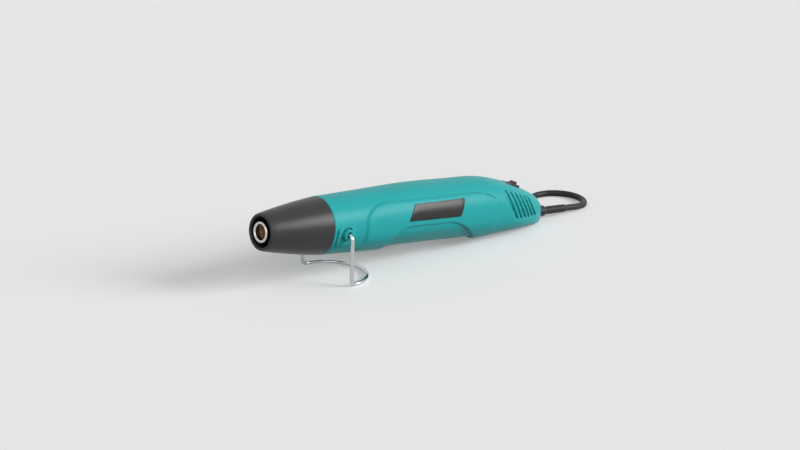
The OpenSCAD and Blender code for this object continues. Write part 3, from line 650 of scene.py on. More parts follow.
def grip_mask(x, z):
    """1 at the bottom of the finger hollow, 0 outside it."""
    front = grip_front + (z + 3) * 0.3
    rear = grip_rear - (z + 3) * 1.35
    ex = np.where(x < front, (front - x) / grip_fade, np.maximum(0, (x - rear) / grip_fade))
    ez = np.maximum(0, (z + 8) / 7.5)
    width = np.where(x > 120, 0.25, 0.18)
    return ramp((1.0 - np.hypot(ex, ez)) / width) * (0.4 + 0.6 * ramp(-z / 14))


def vent_front(z):
    """Where the recess round the air slots starts, at a height."""
    return np.interp(z, *zip(*vent_line))


def vent_mask(x, z):
    """1 on the shallow recess round the air slots, 0 outside it."""
    upright = ramp((z - vent_line[0][0]) / 2) * ramp((vent_top - z) / 1.2)
    return ramp((x - vent_front(z)) / 0.45) * upright * (1 - ramp((x - vent_rear) / 12))


def notches(x, z):
    """1 at the bottom of two fine grooves, ahead of the air slots and at the panel's upper rear corner."""
    vent = ramp(1 - np.abs(x - vent_front(z) - 0.1) / 0.7) * ramp((z + 3) / 5) * ramp((18.6 - z) / 1.2)
    ex, ez = panel_reach(x, z)
    turn = np.arctan2(ez, ex)
    panel = ramp(1 - np.abs(np.hypot(ex, ez) - 0.95) * 32) * ramp((turn - 0.35) / 0.3) * (x > panel_rear)
    return np.maximum(vent, panel)


def body_skin(x, a, inset, shrink):
    """Plain section of the right half at a distance x and angles a: out, up from its middle, and middle."""
    top, bottom = along(body_top, x), along(body_bottom, x)
    n = along(section_power, x)
    mid = (top + bottom) / 2
    half_h = (top - bottom) / 2 - inset - shrink
    half_w = along(body_half_w, x) - inset - shrink
    y = half_w * np.abs(np.cos(a)) ** (2 / n)
    z = half_h * np.sign(np.sin(a)) * np.abs(np.sin(a)) ** (2 / n)
    return y, z, mid


def moved_out(x, y, z, mid, out):
    """Points of a section, each moved out from the section's middle."""
    k = 1 + out / np.hypot(y, z)
    return np.stack([x + 0 * y, y * k, mid + z * k], -1)


def outer_skin(x, a, shrink):
    """The skin's outside, with its panel, hollow, recess, grooves, seam and the round edge at the nose."""
    y, z, mid = body_skin(x, a, 0, shrink)
    out = panel_rise * panel_mask(x, mid + z) - grip_depth * grip_mask(x, mid + z)
    out -= (vent_depth * vent_mask(x, mid + z) + notch_depth * notches(x, mid + z)) * ramp((y - 2) / 3)
    out -= seam_chamfer * (1 - ramp(y / 0.35))
    out -= rim_round * (1 - np.sqrt(1 - (1 - np.clip((x - nose_l) / rim_round, 0, 1)) ** 2))
    return moved_out(x, y, z, mid, out)


def inner_skin(x, a, shrink):
    y, z, mid = body_skin(x, a, skin_t, shrink)
    return moved_out(x, y, z, mid, -grip_depth * grip_mask(x, mid + z))


def stations(steps, end_steps):
    """Sections from the nose to the rounded rear end, as (distance, shrink). Each stretch is (to, step)."""
    places = [nose_l]
    for end, step in steps:
        count = max(round((end - places[-1]) / step), 1)
        places += list(np.linspace(places[-1], end, count + 1)[1:])
    turns = [radians(86 * i / end_steps) for i in range(1, end_steps + 1)]
    return [(x, 0) for x in places] + [(body_flat + end_r * sin(t), end_r * (1 - cos(t))) for t in turns]


def grid_faces(columns, rows, start=0, flip=False):
    faces = []
    for i in range(columns - 1):
        for k in range(rows - 1):
            a = start + i * rows + k
            quad = (a, a + rows, a + rows + 1, a + 1)
            faces.append(quad[::-1] if flip else quad)
    return faces


def skin_band():
    """Right half of the moulded skin as a closed wall, fine outside and plainer inside."""
    seam_turns = [90, 89.7, 89.2, 88.6, 87.9, 87, 85.8, 84.4]
    upper = list(np.arange(83, 65, -1.4)) + list(np.arange(64.6, -50, -0.95))
    lower = list(np.arange(-50.5, -83, -1.6))
    angles = np.radians(sorted([-t for t in seam_turns] + seam_turns + upper + lower))
    outer_steps = [(44, 0.1), (60, 0.42), (90, 0.6), (137, 0.85), (145, 0.5), (158, 0.6), (222, 0.3)]
    outer_x = stations([*outer_steps, (body_flat, 0.7)], 12)
    inner_x = stations([(60, 3), (90, 3), (170, 3.5), (body_flat, 2.4)], 5)
    inner_angles = np.radians(np.linspace(-90, 90, 49))
    outer = np.concatenate([outer_skin(x, angles, shrink) for x, shrink in outer_x])
    inner = np.concatenate([inner_skin(x, inner_angles, shrink) for x, shrink in inner_x])
    reach = (body_end - skin_t - nose_l) / (body_end - nose_l)
    inner[:, 0] = nose_l + (inner[:, 0] - nose_l) * reach
    rows, inner_rows = len(angles), len(inner_angles)
    base = len(outer)
    columns, inner_columns = len(outer_x), len(inner_x)
    last, inner_last = (columns - 1) * rows, base + (inner_columns - 1) * inner_rows
    faces = grid_faces(columns, rows) + grid_faces(inner_columns, inner_rows, base, True)
    faces.append(tuple(range(last + rows - 1, last - 1, -1)))
    faces.append(tuple(range(inner_last, inner_last + inner_rows)))
    faces.append(tuple(range(rows)) + tuple(range(base + inner_rows - 1, base - 1, -1)))
    seam = [i * rows for i in range(columns)] + [i * rows + rows - 1 for i in range(columns - 1, -1, -1)]
    seam += [base + i * inner_rows + inner_rows - 1 for i in range(inner_columns)]
    seam += [base + i * inner_rows for i in range(inner_columns - 1, -1, -1)]
    faces.append(tuple(seam))
    points = np.concatenate([outer, inner])
    points[np.abs(points[:, 1]) < 1e-6, 1] = 0
    return mesh_of("skin", points, faces)


def lofted(name, rings, ends=True):
    """Closed mesh through rings of points with the same count, with flat ends where it has any."""
    count = len(rings[0])
    faces = [
        (i * count + k, i * count + (k + 1) % count, (i + 1) * count + (k + 1) % count, (i + 1) * count + k)
        for i in range(len(rings) - 1) for k in range(count)
    ]
    if ends:
        last = (len(rings) - 1) * count
        faces += [tuple(range(count))[::-1], tuple(range(last, last + count))]
    return mesh_of(name, np.concatenate(rings), faces)


def fill_solid():
    """The whole body a little under its skin: what the ribs and bosses inside may fill."""
    angles = np.radians(np.arange(-180, 180, 5))
    half_angles = np.where(np.cos(angles) >= 0, angles, pi - angles)
    rings = []
    for x, shrink in stations([(body_flat, 1.5)], 3):
        ring = outer_skin(max(x, nose_l + 0.8), half_angles, shrink + fill_depth)
        ring[:, 1] *= np.sign(np.cos(angles))
        ring[:, 0] = x if x > nose_l else nose_l + fill_depth / 2
        rings.append(ring)
    return lofted("fill", rings)


def inner_parts(node):
    """Ribs, bosses and rails of a shell: the frame's own solid without its outer skin."""
    mesh = frame["nodes"][node].data.copy()
    mesh.transform(tool_frame.inverted())
    shape = bmesh.new()
    shape.from_mesh(mesh)
    bmesh.ops.remove_doubles(shape, verts=shape.verts, dist=0.001)
    shape.to_mesh(mesh)
    shape.free()
    mesh.materials.clear()
    return combine(mesh, fill_solid(), "INTERSECT")


def mirrored(mesh):
    mesh.transform(Matrix.Diagonal((1, -1, 1, 1)))
    mesh.flip_normals()
    return mesh


def skin_y(points):
    """Height of the right half's skin above the middle plane, at points (x, z)."""
    angles = np.radians(np.linspace(-82, 82, 500))
    heights = []
    for x, z in points:
        skin = outer_skin(x, angles, 0)
        heights.append(float(np.interp(z, skin[:, 2], skin[:, 1])))
    return np.array(heights)


def quarter(steps, r):
    """Rounded edge of radius r, as (inset, sink) from the side up to the face."""
    angles = [pi / 2 * i / steps for i in range(steps + 1)]
    return [(r * (1 - cos(a)), r * (1 - sin(a))) for a in angles]


def rounded_box(x0, x1, z0, z1, r, inset=0.0, steps=6):
    """Outline of a rectangle with rounded corners, drawn in by the inset."""
    corners = ((x1 - r, z1 - r, 0), (x0 + r, z1 - r, 90), (x0 + r, z0 + r, 180), (x1 - r, z0 + r, 270))
    reach = r - inset
    return np.array([
        (cx + reach * cos(radians(start + 90 * i / steps)), cz + reach * sin(radians(start + 90 * i / steps)))
        for cx, cz, start in corners for i in range(steps + 1)
    ])


def raised(points, heights):
    """Points of an outline (x, z) at heights above the middle plane."""
    return np.stack([points[:, 0], 0 * points[:, 0] + heights, points[:, 1]], -1)


def circle(r, sides):
    turns = np.linspace(0, 2 * pi, sides, endpoint=False)
    return np.stack([r * np.cos(turns), r * np.sin(turns)], -1)


def bar(name, r, start, end, sides=48):
    """Round bar along y: start and end are its heights above the middle plane."""
    return lofted(name, [raised(circle(r, sides), y) for y in (start, end)])


def moved(mesh, *offset):
    mesh.transform(Matrix.Translation(offset))
    return mesh


slot_step = 4.3
slot_bow = 4
slot_lip = 0.42
slot_bottom_y = 4.0


def slot_outline(i, reach):
    """Outline of an air slot: a bowed stretch with round ends, reach wide on each side of its line."""
    top = np.array((187.1, 12.2)) + np.array((slot_step, -1.2)) * i
    foot = np.array((196.2, -5.3)) + np.array((slot_step, -0.2)) * i
    t = np.linspace(0.01, 1.0, 22)[:, None]
    line = top + (foot - top) * t - np.array((slot_bow, 0)) * t * (1 - t)
    run = np.gradient(line, axis=0)
    run /= np.linalg.norm(run, axis=1)[:, None]
    side = np.stack([-run[:, 1], run[:, 0]], -1)
    turns = np.radians(np.arange(15, 166, 15))[:, None]
    head = line[0] + reach * (np.cos(turns) * -side[0] - np.sin(turns) * run[0])
    tail = line[-1] + reach * (np.cos(turns) * side[-1] + np.sin(turns) * run[-1])
    return np.concatenate([line + reach * side, tail, (line - reach * side)[::-1], head])


def slot_cutter(i):
    outline = slot_outline(i, slot_half_w)
    rings = [raised(outline, slot_bottom_y)]
    for inset, sink in quarter(4, slot_lip):
        outline = slot_outline(i, slot_half_w + inset)
        rings.append(raised(outline, skin_y(outline) - sink))
    rings.append(raised(slot_outline(i, slot_half_w + slot_lip + 0.03), rings[-1][:, 1] + 0.05))
    rings.append(rings[-1] + (0, 4, 0))
    return lofted("slot", rings)


pad_r = 19.1
pad_box = (pivot_x - 6.7, pivot_x + 6.7, -9, 2.8, 2.5)
pad_edge = 0.4
pad_foot_y = 16.6
pivot_hole_r = 1.9
pivot_boss_r = 3.5
pivot_boss_y = 21.2


def faced_plate(name, outline, edge, surface, foot):
    """Plate with a rounded edge. Its outline is a function of the inset, and its face lies on a surface."""
    rings = [raised(outline(0), foot)]
    for inset, sink in quarter(3, edge):
        points = outline(inset)
        rings.append(raised(points, surface(points) - sink))
    points = outline(edge)
    middle = points.mean(axis=0)
    for scale in (0.85, 0.7, 0.55, 0.4, 0.25, 0.1):
        nearer = middle + (points - middle) * scale
        rings.append(raised(nearer, surface(nearer)))
    return lofted(name, rings)


def pad_surface(points):
    return np.sqrt(pad_r ** 2 - points[:, 1] ** 2)


def stood_out(name, outline, x, z, sides=64):
    """A turned piece that stands out from the side at a place: y of its outline is the height there."""
    mesh = turned(name, outline, None, sides)
    mesh.transform(Matrix.Translation((x, 0, z)) @ Matrix.Rotation(pi / 2, 4, "Z"))
    return mesh


def pivot_pad():
    """Rounded pad of the barrel's own curve, with a round boss for the end of the stand's wire."""
    pad = faced_plate(
        "pad", lambda inset: rounded_box(*pad_box, inset=inset), pad_edge, pad_surface, pad_foot_y)
    groove = [(0, 18.4), (0.15, 18.25), (0.5, 18.25), (0.8, 18.6), (0.8, 21), (0, 21)]
    moat = stood_out("moat", [(pivot_boss_r + a, b) for a, b in groove], pivot_x, pivot_z)
    boss_outline = (
        [(0.01, 16.8), (pivot_boss_r, 16.8)]
        + [(pivot_boss_r - a, pivot_boss_y - b) for a, b in quarter(4, 0.4)]
        + [(pivot_hole_r + 0.5, pivot_boss_y), (0.01, pivot_boss_y)]
    )
    boss = stood_out("boss", boss_outline, pivot_x, pivot_z)
    return combine(combine(pad, moat, "DIFFERENCE"), boss, "UNION")


switch_x = 202.5
switch_z = float(along(body_top, np.array(switch_x)))
deck_tilt = atan((along(body_top, np.array(switch_x - 1)) - along(body_top, np.array(switch_x + 1))) / 2)
deck = Matrix.Translation((switch_x, 0, switch_z)) @ Matrix.Rotation(deck_tilt, 4, "Y")
switch_hole = (11.6, 7.8)
seat_size = (12.6, 9.0)


def lying(outline, z):
    """Points of an outline (x, y) at a height z."""
    return np.insert(outline, 2, z, axis=1)


def block(name, size, low, high, r=0.6, steps=4):
    """Upright block with rounded corners, centred on the z axis."""
    x, y = size[0] / 2, size[1] / 2
    return lofted(name, [lying(rounded_box(-x, x, -y, y, r, steps=steps), z) for z in (low, high)])


def shell_cutters(side):
    """Everything that is cut out of one half, made for the right side."""
    cutters = [slot_cutter(i) for i in range(slot_count)]
    hole = [(0.01, 10), (1.3, 10), (1.3, 17.2), (pivot_hole_r, 17.6), (pivot_hole_r, pivot_boss_y - 0.3)]
    hole += [(pivot_hole_r + 0.45, pivot_boss_y + 0.05), (pivot_hole_r + 0.45, 24), (0.01, 24)]
    cutters.append(stood_out("bore", hole, pivot_x, pivot_z, 48))
    opening = block("opening", switch_hole, -10, 4)
    seat = combine(opening, block("seat", seat_size, -0.6, 4, 1.3), "UNION")
    seat.transform(deck)
    relief = bar("relief", exit_hole_r, 0, 14)
    relief.transform(Matrix.Translation((body_end - 12, 0, exit_z)) @ Matrix.Rotation(-pi / 2, 4, "Z"))
    cutters += [seat, relief]
    if side > 0:
        for x, z in screw_places:
            y = float(skin_y([(x, z)])[0])
            recess = [(0.01, 4), (screw_well_r, 4), (screw_well_r, y - 1.2), (screw_well_r, y - 0.3)]
            recess += [(screw_well_r + 0.3, y + 0.1), (screw_well_r + 0.3, y + 6), (0.01, y + 6)]
            cutters.append(stood_out("recess", recess, x, z))
    return joined("cutters", cutters)


# The teal's hollows and creases take a strong painted shade, and its edges a painted highlight, through the
# moulded surface's Hollow shade and Edge light.
teal = shader("teal", (0.03, 0.43, 0.44), specular=0.1, bump=0.08,
    roughness=0.34, roughness_drift=0.08, grain_size=0.0004, edge_light=0.1, hollow_shade=0.45, drift=0.05)
for side, name in ((-1, "left"), (1, "right")):
    shell = combine(skin_band(), pivot_pad(), "UNION")
    shell = combine(shell, shell_cutters(side), "DIFFERENCE")
    if side < 0:
        shell = mirrored(shell)
    shell = combine(shell, inner_parts(name + "_shell"), "UNION")
    finish_piece(name + "_shell_moulded", shell, teal, "teal_shell", name + "_shell", sharp=30)


# Case screws.
# Five zinc-plated screws with a cross recess hold the halves together. They are all driven from the right,
# and their heads sit deep in round wells. A tree puts a copy of one screw at each place.
def copies_tree():
    """Tree that puts a copy of a piece at each point, each slimmer than the one before by the shrink."""
    tree, given, out = new_shape("Placed copies", ("Piece", "Object", None), ("Shrink", "Float", 0.0))
    piece = put(tree, "GeometryNodeObjectInfo", {"Object": given["Piece"]}).outputs["Geometry"]
    index = put(tree, "GeometryNodeInputIndex").outputs[0]
    less = maths(tree, "MULTIPLY", index, given["Shrink"])
    scale = maths(tree, "SUBTRACT", 1.0, less)
    size = put(tree, "ShaderNodeCombineXYZ", {"X": 1.0, "Y": scale, "Z": scale}).outputs[0]
    set_out = put(tree, "GeometryNodeInstanceOnPoints", {
        "Points": given["Geometry"], "Instance": piece, "Scale": size}).outputs[0]
    return end_shape(tree, given, out, set_out)


placed_copies = copies_tree()


def copies(name, piece, places, material, shrink=0.0):
    """One mesh with a copy of the piece at each place."""
    pattern = add_object(piece)
    spots = bpy.data.meshes.new(name)
    spots.from_pydata([tuple(p) for p in places], [], [])
    made = grown(spots, placed_copies, piece=pattern, shrink=shrink, material=material)
    bpy.data.objects.remove(pattern)
    return made


screw_r = 1.3
screw_head_r = 2.4
seat_y = 4
screw_tip_y = -8
cross_size = (2.8, 0.55)
screw_steel = shader("screw steel", (0.5, 0.5, 0.48), metallic=1.0, bump=0.1, group=brushed,
    roughness=0.32, stretch=(900, 900, 900), drift=0.25)
screw_outline = (
    [(0.01, screw_tip_y), (0.5, screw_tip_y + 0.3), (screw_r - 0.2, screw_tip_y + 1.6)]
    + [(screw_r - 0.2, seat_y - 0.4), (screw_r, seat_y), (screw_head_r, seat_y), (screw_head_r, seat_y + 1.2)]
    + [(screw_head_r * cos(a), seat_y + 1.2 + 0.8 * sin(a)) for a in np.radians(range(15, 90, 15))]
    + [(0.01, seat_y + 2)]
)
screw = turned("screw", screw_outline, screw_steel, 40)
screw.transform(Matrix.Rotation(pi / 2, 4, "Z"))
for turn in (0, 90):
    blade = block("bit", cross_size, 0, 3, 0.1, 2)
    blade.transform(Matrix.Rotation(radians(turn), 4, "Y") @ Matrix.Translation((0, seat_y + 1, 0))
        @ Matrix.Rotation(-pi / 2, 4, "X"))
    screw = combine(screw, blade, "DIFFERENCE")
finish_piece("case_screw_set", copies("screws", screw, [(x, 0, z) for x, z in screw_places], screw_steel),
    screw_steel, "screw_steel", "case_screws")


# Blank plate.
# Thin glossy black plate stuck on the left panel. It is bare, and its lower rear corner is rounded off.
plate_corners = [(100.2, 2.3), (143.4, 1.6), (147.6, 12.4), (105.8, 12.1)]
plate_corner_r = (0.6, 2.6, 0.6, 0.6)
plate_t = 0.4
plate_edge = 0.12
plate_foot_y = 17.5


def plate_outline(inset):
    """Outline of the plate, with each corner rounded by its own radius."""
    corners = [np.array(p, float) for p in plate_corners]
    points = []
    for i, corner in enumerate(corners):
        before, after = corners[i - 1], corners[(i + 1) % 4]
        back = (before - corner) / np.linalg.norm(before - corner)
        on = (after - corner) / np.linalg.norm(after - corner)
        half = np.arccos(np.clip(back @ on, -1, 1)) / 2
        r = plate_corner_r[i]
        centre = corner + (back + on) / np.linalg.norm(back + on) * r / np.sin(half)
        start = np.array((-back[1], back[0]))
        angle = np.arctan2(start[1], start[0])
        sweep = pi - 2 * half
        reach = max(r - inset, 0.05)
        for a in [angle + sweep * k / 6 for k in range(7)]:
            points.append(centre + reach * np.array((cos(a), sin(a))))
        edge = after - corner
        inward = np.array((-on[1], on[0])) * inset
        for t in np.linspace(0.25, 0.75, 8):
            points.append(corner + edge * t + inward)
    return np.array(points)


def plate_surface(points):
    return skin_y(points) + plate_t


label_black = shader("label black", (0.022, 0.022, 0.023), specular=0.28, bump=0.02,
    roughness=0.3, roughness_drift=0.1, grain_size=0.0003, drift=0.2)
plate = mirrored(faced_plate("plate", plate_outline, plate_edge, plate_surface, plate_foot_y))
finish_piece("blank_plate", plate, label_black, "label_black", "label_plate")


# Wire stand.
# One length of bright plated steel wire, bent to two legs with turned-in ends and a half-round bow that lies
# on the table. It is swept by the tree that sweeps the heating wire.
wire_r = 1.25
stand_leg = 30.7
stand_half_w = 23.6
stand_bend = 3
bow_bend = 3.5
bow_corner_r = 16
bow_mid_r = 24.3
pin_tip_y = 14


def bend(centre, start, end, steps=10):
    """Points of a bend about a centre, from one direction to another at right angles to it."""
    first, last = Vector(start), Vector(end)
    return [Vector(centre) + first * cos(a) + last * sin(a) for a in np.linspace(0, pi / 2, steps + 1)]


foot = -stand_leg
side_line = (
    [Vector((0, pin_tip_y, 0)), Vector((0, (pin_tip_y + stand_half_w) / 2, 0))]
    + bend((0, stand_half_w - stand_bend, -stand_bend), (0, 0, stand_bend), (0, stand_bend, 0))
    + [Vector((0, stand_half_w, foot * 0.35)), Vector((0, stand_half_w, foot * 0.65))]
    + bend((bow_bend, stand_half_w, foot + bow_bend), (-bow_bend, 0, 0), (0, 0, -bow_bend))
)
bow_turn = acos((stand_half_w - bow_corner_r) / (bow_mid_r - bow_corner_r))
bow_x = bow_bend - (bow_mid_r - bow_corner_r) * sin(bow_turn)


def bow_point(a):
    """Point of the bow where its outside faces the angle a: a tighter bend at each end and a wide middle."""
    if abs(a) > pi / 2 - bow_turn:
        centre_y = copysign(stand_half_w - bow_corner_r, a)
        return Vector((bow_bend + bow_corner_r * cos(a), centre_y + bow_corner_r * sin(a), foot))
    return Vector((bow_x + bow_mid_r * cos(a), bow_mid_r * sin(a), foot))


bow = [bow_point(a) for a in np.radians(np.arange(87, -88, -3))]
other_side = [Vector((p.x, -p.y, p.z)) for p in reversed(side_line)]
stand_chrome = shader("stand chrome", (0.58, 0.59, 0.6), metallic=1.0, bump=0.03, group=brushed,
    roughness=0.13, stretch=(300, 300, 300), drift=0.06, roughness_drift=0.08)
stand = wire("stand", [Vector(p) for p in side_line + bow + other_side], wire_r, stand_chrome, 32)
pivot = tool_frame @ Vector((pivot_x, 0, pivot_z))
finish_piece("stand_wire_bent", stand, stand_chrome, "stand_chrome", "stand_wire", body="stand",
    place=Matrix.Translation(pivot) @ row_frame)


# Rocker switch.
# A small black housing pushed through the rear deck, with a dark red rocker on a pin. Its flange is let into
# the deck in front and rises to the rear, and the rocker's usual line and ring are sunk into its face.
flange = (12.4, 8.8)
flange_middle = 0.55
flange_rise = 0.1
well = (9.8, 6)
case_size = (11.4, 7.6)
case_foot_z = -10
tab_size = (0.8, 4.8)
rocker_pin_z = -1.5
rocker_tilt = radians(7)
tab_gap = 3.2
switch_black = shader("switch black", (0.02, 0.02, 0.021), specular=0.5, bump=0.05,
    roughness=0.3, grain_size=0.0003, edge_light=0.1, drift=0.2)
rocker_red = shader("rocker red", (0.075, 0.014, 0.02), specular=0.2, bump=0.02,
    roughness=0.36, grain_size=0.0004, edge_light=0.05, drift=0.15)


def rim(size, low, high, r, edge, rise=0.0):
    """Block with its upper edge rounded, whose top may rise along x."""
    x, y = size[0] / 2, size[1] / 2
    rings = [lying(rounded_box(-x, x, -y, y, r, steps=5), low)]
    for inset, sink in quarter(3, edge):
        outline = rounded_box(-x, x, -y, y, r, inset, 5)
        rings.append(lying(outline, high + rise * outline[:, 0] - sink))
    return lofted("rim", rings)


flange_block = rim(flange, -0.55, flange_middle, 1.2, 0.3, flange_rise)
housing = combine(flange_block, block("case", case_size, case_foot_z, 0, 0.4), "UNION")
housing = combine(housing, block("well", well, -3.6, 3, 0.4), "DIFFERENCE")
for x in (-tab_gap, tab_gap):
    tab = block("tab", tab_size, case_foot_z - 5, case_foot_z + 0.5, 0.2)
    housing = combine(housing, moved(tab, x, 0, 0), "UNION")
finish_piece("switch_case", housing, switch_black, "switch_black", "switch_housing", place=tool_frame @ deck)
rocker_half_w = well[1] / 2 - 0.3
rocker_edge = 0.15
rocker_outline = (
    [(-4.0, 0.4), (-4.3, 2.1), (-4.2, 2.3), (-4.0, 2.38)]
    + [(x, 2.2 + 0.18 * (x / 4) ** 2) for x in (-3, -2, -1, 0)]
    + [(x, 2.2 + 1.5 * (x / 4.1) ** 2) for x in (1, 2, 3)]
    + [(3.9, 3.66), (4.25, 3.7), (4.45, 3.5), (4.0, 0.6), (1.6, -1.2), (-1.6, -1.2)]
)
rocker_middle = np.mean(rocker_outline, axis=0)
rocker_side = rocker_middle + (np.array(rocker_outline) - rocker_middle) * (1 - rocker_edge / 3)
rocker = lofted("rocker", [
    raised(rocker_side, -rocker_half_w),
    raised(np.array(rocker_outline), rocker_edge - rocker_half_w),
    raised(np.array(rocker_outline), rocker_half_w - rocker_edge),
    raised(rocker_side, rocker_half_w),
])
rocker = combine(rocker, bar("pin", 0.8, -3.4, 3.4, 24), "UNION")
line_mark = moved(block("line", (0.45, 2.2), -0.2, 0.4, 0.15, 3), -2.6, 0, 2.26)
ring_corners = [(0.75, -0.2), (0.75, 0.5), (1.15, 0.5), (1.15, -0.2), (0.75, -0.2)]
ring_mark = lofted("ring", [lying(circle(r, 32), z) for r, z in ring_corners], ends=False)
ring_mark.transform(Matrix.Translation((2.5, 0, 2.76)) @ Matrix.Rotation(-0.42, 4, "Y"))
for mark in (line_mark, ring_mark):
    rocker = combine(rocker, mark, "DIFFERENCE")
rocker_turn = Matrix.Translation((0, 0, rocker_pin_z)) @ Matrix.Rotation(-rocker_tilt, 4, "Y")
finish_piece("switch_rocker_moulded", rocker, rocker_red, "rocker_red", "switch_rocker", body="rocker",
    place=tool_frame @ deck @ rocker_turn, sharp=50)


# Fan, motor and ducts.
# Inner pieces that only show through the air slots or with the case open. Their own solids are right, and
# each takes its finish: natural nylon, plated steel, sintered bronze, mica board and black mouldings.
inner_black = shader("inner black", (0.03, 0.03, 0.031), specular=0.35, bump=0.15,
    roughness=0.5, grain_size=0.0005, drift=0.2)
fan_plastic = shader("fan plastic", (0.55, 0.55, 0.5), specular=0.4, bump=0.1,
    roughness=0.42, grain_size=0.0006, drift=0.12)
motor_steel = shader("motor steel", (0.5, 0.5, 0.5), metallic=1.0, bump=0.08, group=brushed,
    roughness=0.3, stretch=(600, 600, 600), drift=0.2)
bronze = shader("bronze", (0.5, 0.28, 0.1), metallic=1.0, bump=0.3, group=brushed,
    roughness=0.5, stretch=(3000, 3000, 3000), drift=0.5)
show_nodes(air_funnel=mica, fan_duct=inner_black, fan_impeller=fan_plastic, motor_shaft=tube_steel,
    shaft_bushes=bronze, motor_can=motor_steel, motor_endcap=ceramic)


# Board and inner leads.
# A small green board with a rectifier and a capacitor, two glass-sleeved leads to the element, and the mains
# wires, with the clamp plate and screws that hold the lead inside the rear.
board_green = shader("board green", (0.01, 0.09, 0.03), specular=0.5, bump=0.1,
    roughness=0.3, grain_size=0.0008, drift=0.3)
heater_sleeve = shader("heater sleeve", (0.62, 0.58, 0.48), specular=0.3, bump=0.5,
    roughness=0.7, grain_size=0.0003, drift=0.15)
power_sleeve = shader("power sleeve", (0.06, 0.025, 0.012), specular=0.5, bump=0.05,
    roughness=0.35, grain_size=0.0004, drift=0.2)
show_nodes(rectifier_board=board_green, board_parts=inner_black, heater_leads=heater_sleeve,
    power_leads=power_sleeve, cord_clamp=inner_black, clamp_screws=screw_steel, cord_tail=lead_black)


# Strain relief.
# Moulded on the lead in black PVC: a flange held inside the halves, a round collar against the rear of the
# body, and a sleeve whose ribs shrink towards its end. A tree puts the ribs along the sleeve.
relief_start = 221
relief_seat_x = 226.2
relief_end = 258
relief_r = 3
relief_flange_r = 4.2
relief_flange_t = 3.6
relief_collar_r = 3.6
relief_collar_end = body_end + 5.8
relief_black = shader("relief black", (0.014, 0.014, 0.015), specular=0.3, bump=0.12,
    roughness=0.4, grain_size=0.0003, edge_light=0.1, drift=0.2)
flange_x = relief_seat_x - relief_flange_t
relief_outline = (
    [(0.01, relief_start), (relief_r, relief_start), (relief_r, flange_x)]
    + [(relief_flange_r, flange_x), (relief_flange_r, relief_seat_x), (relief_collar_r, relief_seat_x)]
    + [(relief_collar_r - a, relief_collar_end - b) for a, b in quarter(5, 0.7)]
    + [(2.55, relief_collar_end + 0.1), (2.45, relief_collar_end + 0.6), (2.4, 248), (2.3, relief_end - 0.3)]
    + [(2.15, relief_end), (0.01, relief_end)]
)


def ribs(places, foot_r, r, height, half_w, steps, shrink, sides, material):
    """Rounded ribs at places along the x axis: each is half_w to both sides and stands height out from r."""
    turns = np.linspace(0, pi, steps)
    outline = [(foot_r, -half_w - 0.1)] + [(r + height * sin(a), -half_w * cos(a)) for a in turns]
    rib = turned("rib", outline + [(foot_r, half_w + 0.1)], material, sides)
    return copies("ribs", rib, [(x, 0, 0) for x in places], material, shrink)


relief = joined("relief", [
    turned("sleeve", relief_outline, relief_black, 64),
    ribs(np.linspace(241, 255, 6), 2.2, 2.45, 0.27, 0.8, 13, 0.006, 64, relief_black),
])
relief = moved(relief, 0, 0, exit_z)
finish_piece("strain_relief_moulded", relief, relief_black, "relief_black", "strain_relief")


# Coil tie.
# A flat strap of soft black rubber goes round all the turns of the coil and is closed on itself. It keeps the
# lead together while it is put away.
tie_t = 0.8
tie_w = 6
coil_in_r = coil_mid_r - coil_spread
tie_inner = coil_in_r / mm - lead_d / mm / 2 - tie_t
tie_outer = coil_out_r / mm + lead_d / mm / 2 + tie_t
tie_top = (coil_low_z + coil_step) / mm + lead_d / mm / 2 + tie_t
tie_black = shader("tie black", (0.018, 0.018, 0.018), specular=0.4, bump=0.4,
    roughness=0.55, grain_size=0.0006, drift=0.2)
tie_half = (tie_outer - tie_inner) / 2
tie_edge = 0.25
tie_side = tie_w / 2
tie_steps = [(tie_t, -tie_side), (tie_edge, -tie_side), (0, tie_edge - tie_side), (0, tie_side - tie_edge),
    (tie_edge, tie_side), (tie_t, tie_side), (tie_t, -tie_side)]
tie = lofted("tie", [
    raised(rounded_box(-tie_half, tie_half, 0, tie_top, 2.5, inset), y) for inset, y in tie_steps
], ends=False)
tie_middle = Matrix.Translation((-(tie_inner + tie_outer) / 2, 0, 0))
finish_piece("coil_tie_strap", tie, tie_black, "tie_black", "coil_tie",
    place=Matrix.Translation(coil_centre) @ row_frame @ tie_middle)


# Plug.
# Two-blade plug moulded on the end of the lead in black PVC, with a ribbed neck and finger grips, and two
# pale brass blades with round holes and bevelled faces.
plug_start = plug_route[-1]
plug_l = 26
plug_w = 20
plug_h = 2 * plug_start.z / mm
blade_l = 16.5
blade_t = 1.5
blade_w = 6.3
blade_gap = 12.7
plug_black = shader("plug black", (0.02, 0.02, 0.021), specular=0.45, bump=0.12,
    roughness=0.42, grain_size=0.0004, edge_light=0.1, drift=0.2)
blade_metal = shader("blade metal", (0.66, 0.6, 0.45), metallic=1.0, bump=0.06, group=brushed,
    roughness=0.24, stretch=(200, 3000, 3000), drift=0.15)
plug_half_y = plug_w / 2
plug_half_z = plug_h / 2
neck_r = 4.1


def plug_ring(x, half_y, half_z, power):
    """Section of the plug: round where the power is 2, and squarer the higher it is."""
    flat = circle(1, 72)
    flat = np.sign(flat) * np.abs(flat) ** (2 / power) * (half_y, half_z)
    return np.insert(flat, 0, x, axis=1)


def neck_ring(t):
    """Section where the round neck spreads to the plug's body, from 0 to 1."""
    wide = ramp(t)
    return plug_ring(
        8 + 5 * t, neck_r + (plug_half_y - 4.5) * wide, neck_r + (plug_half_z - 4.5) * wide, 2 + 2 * wide)


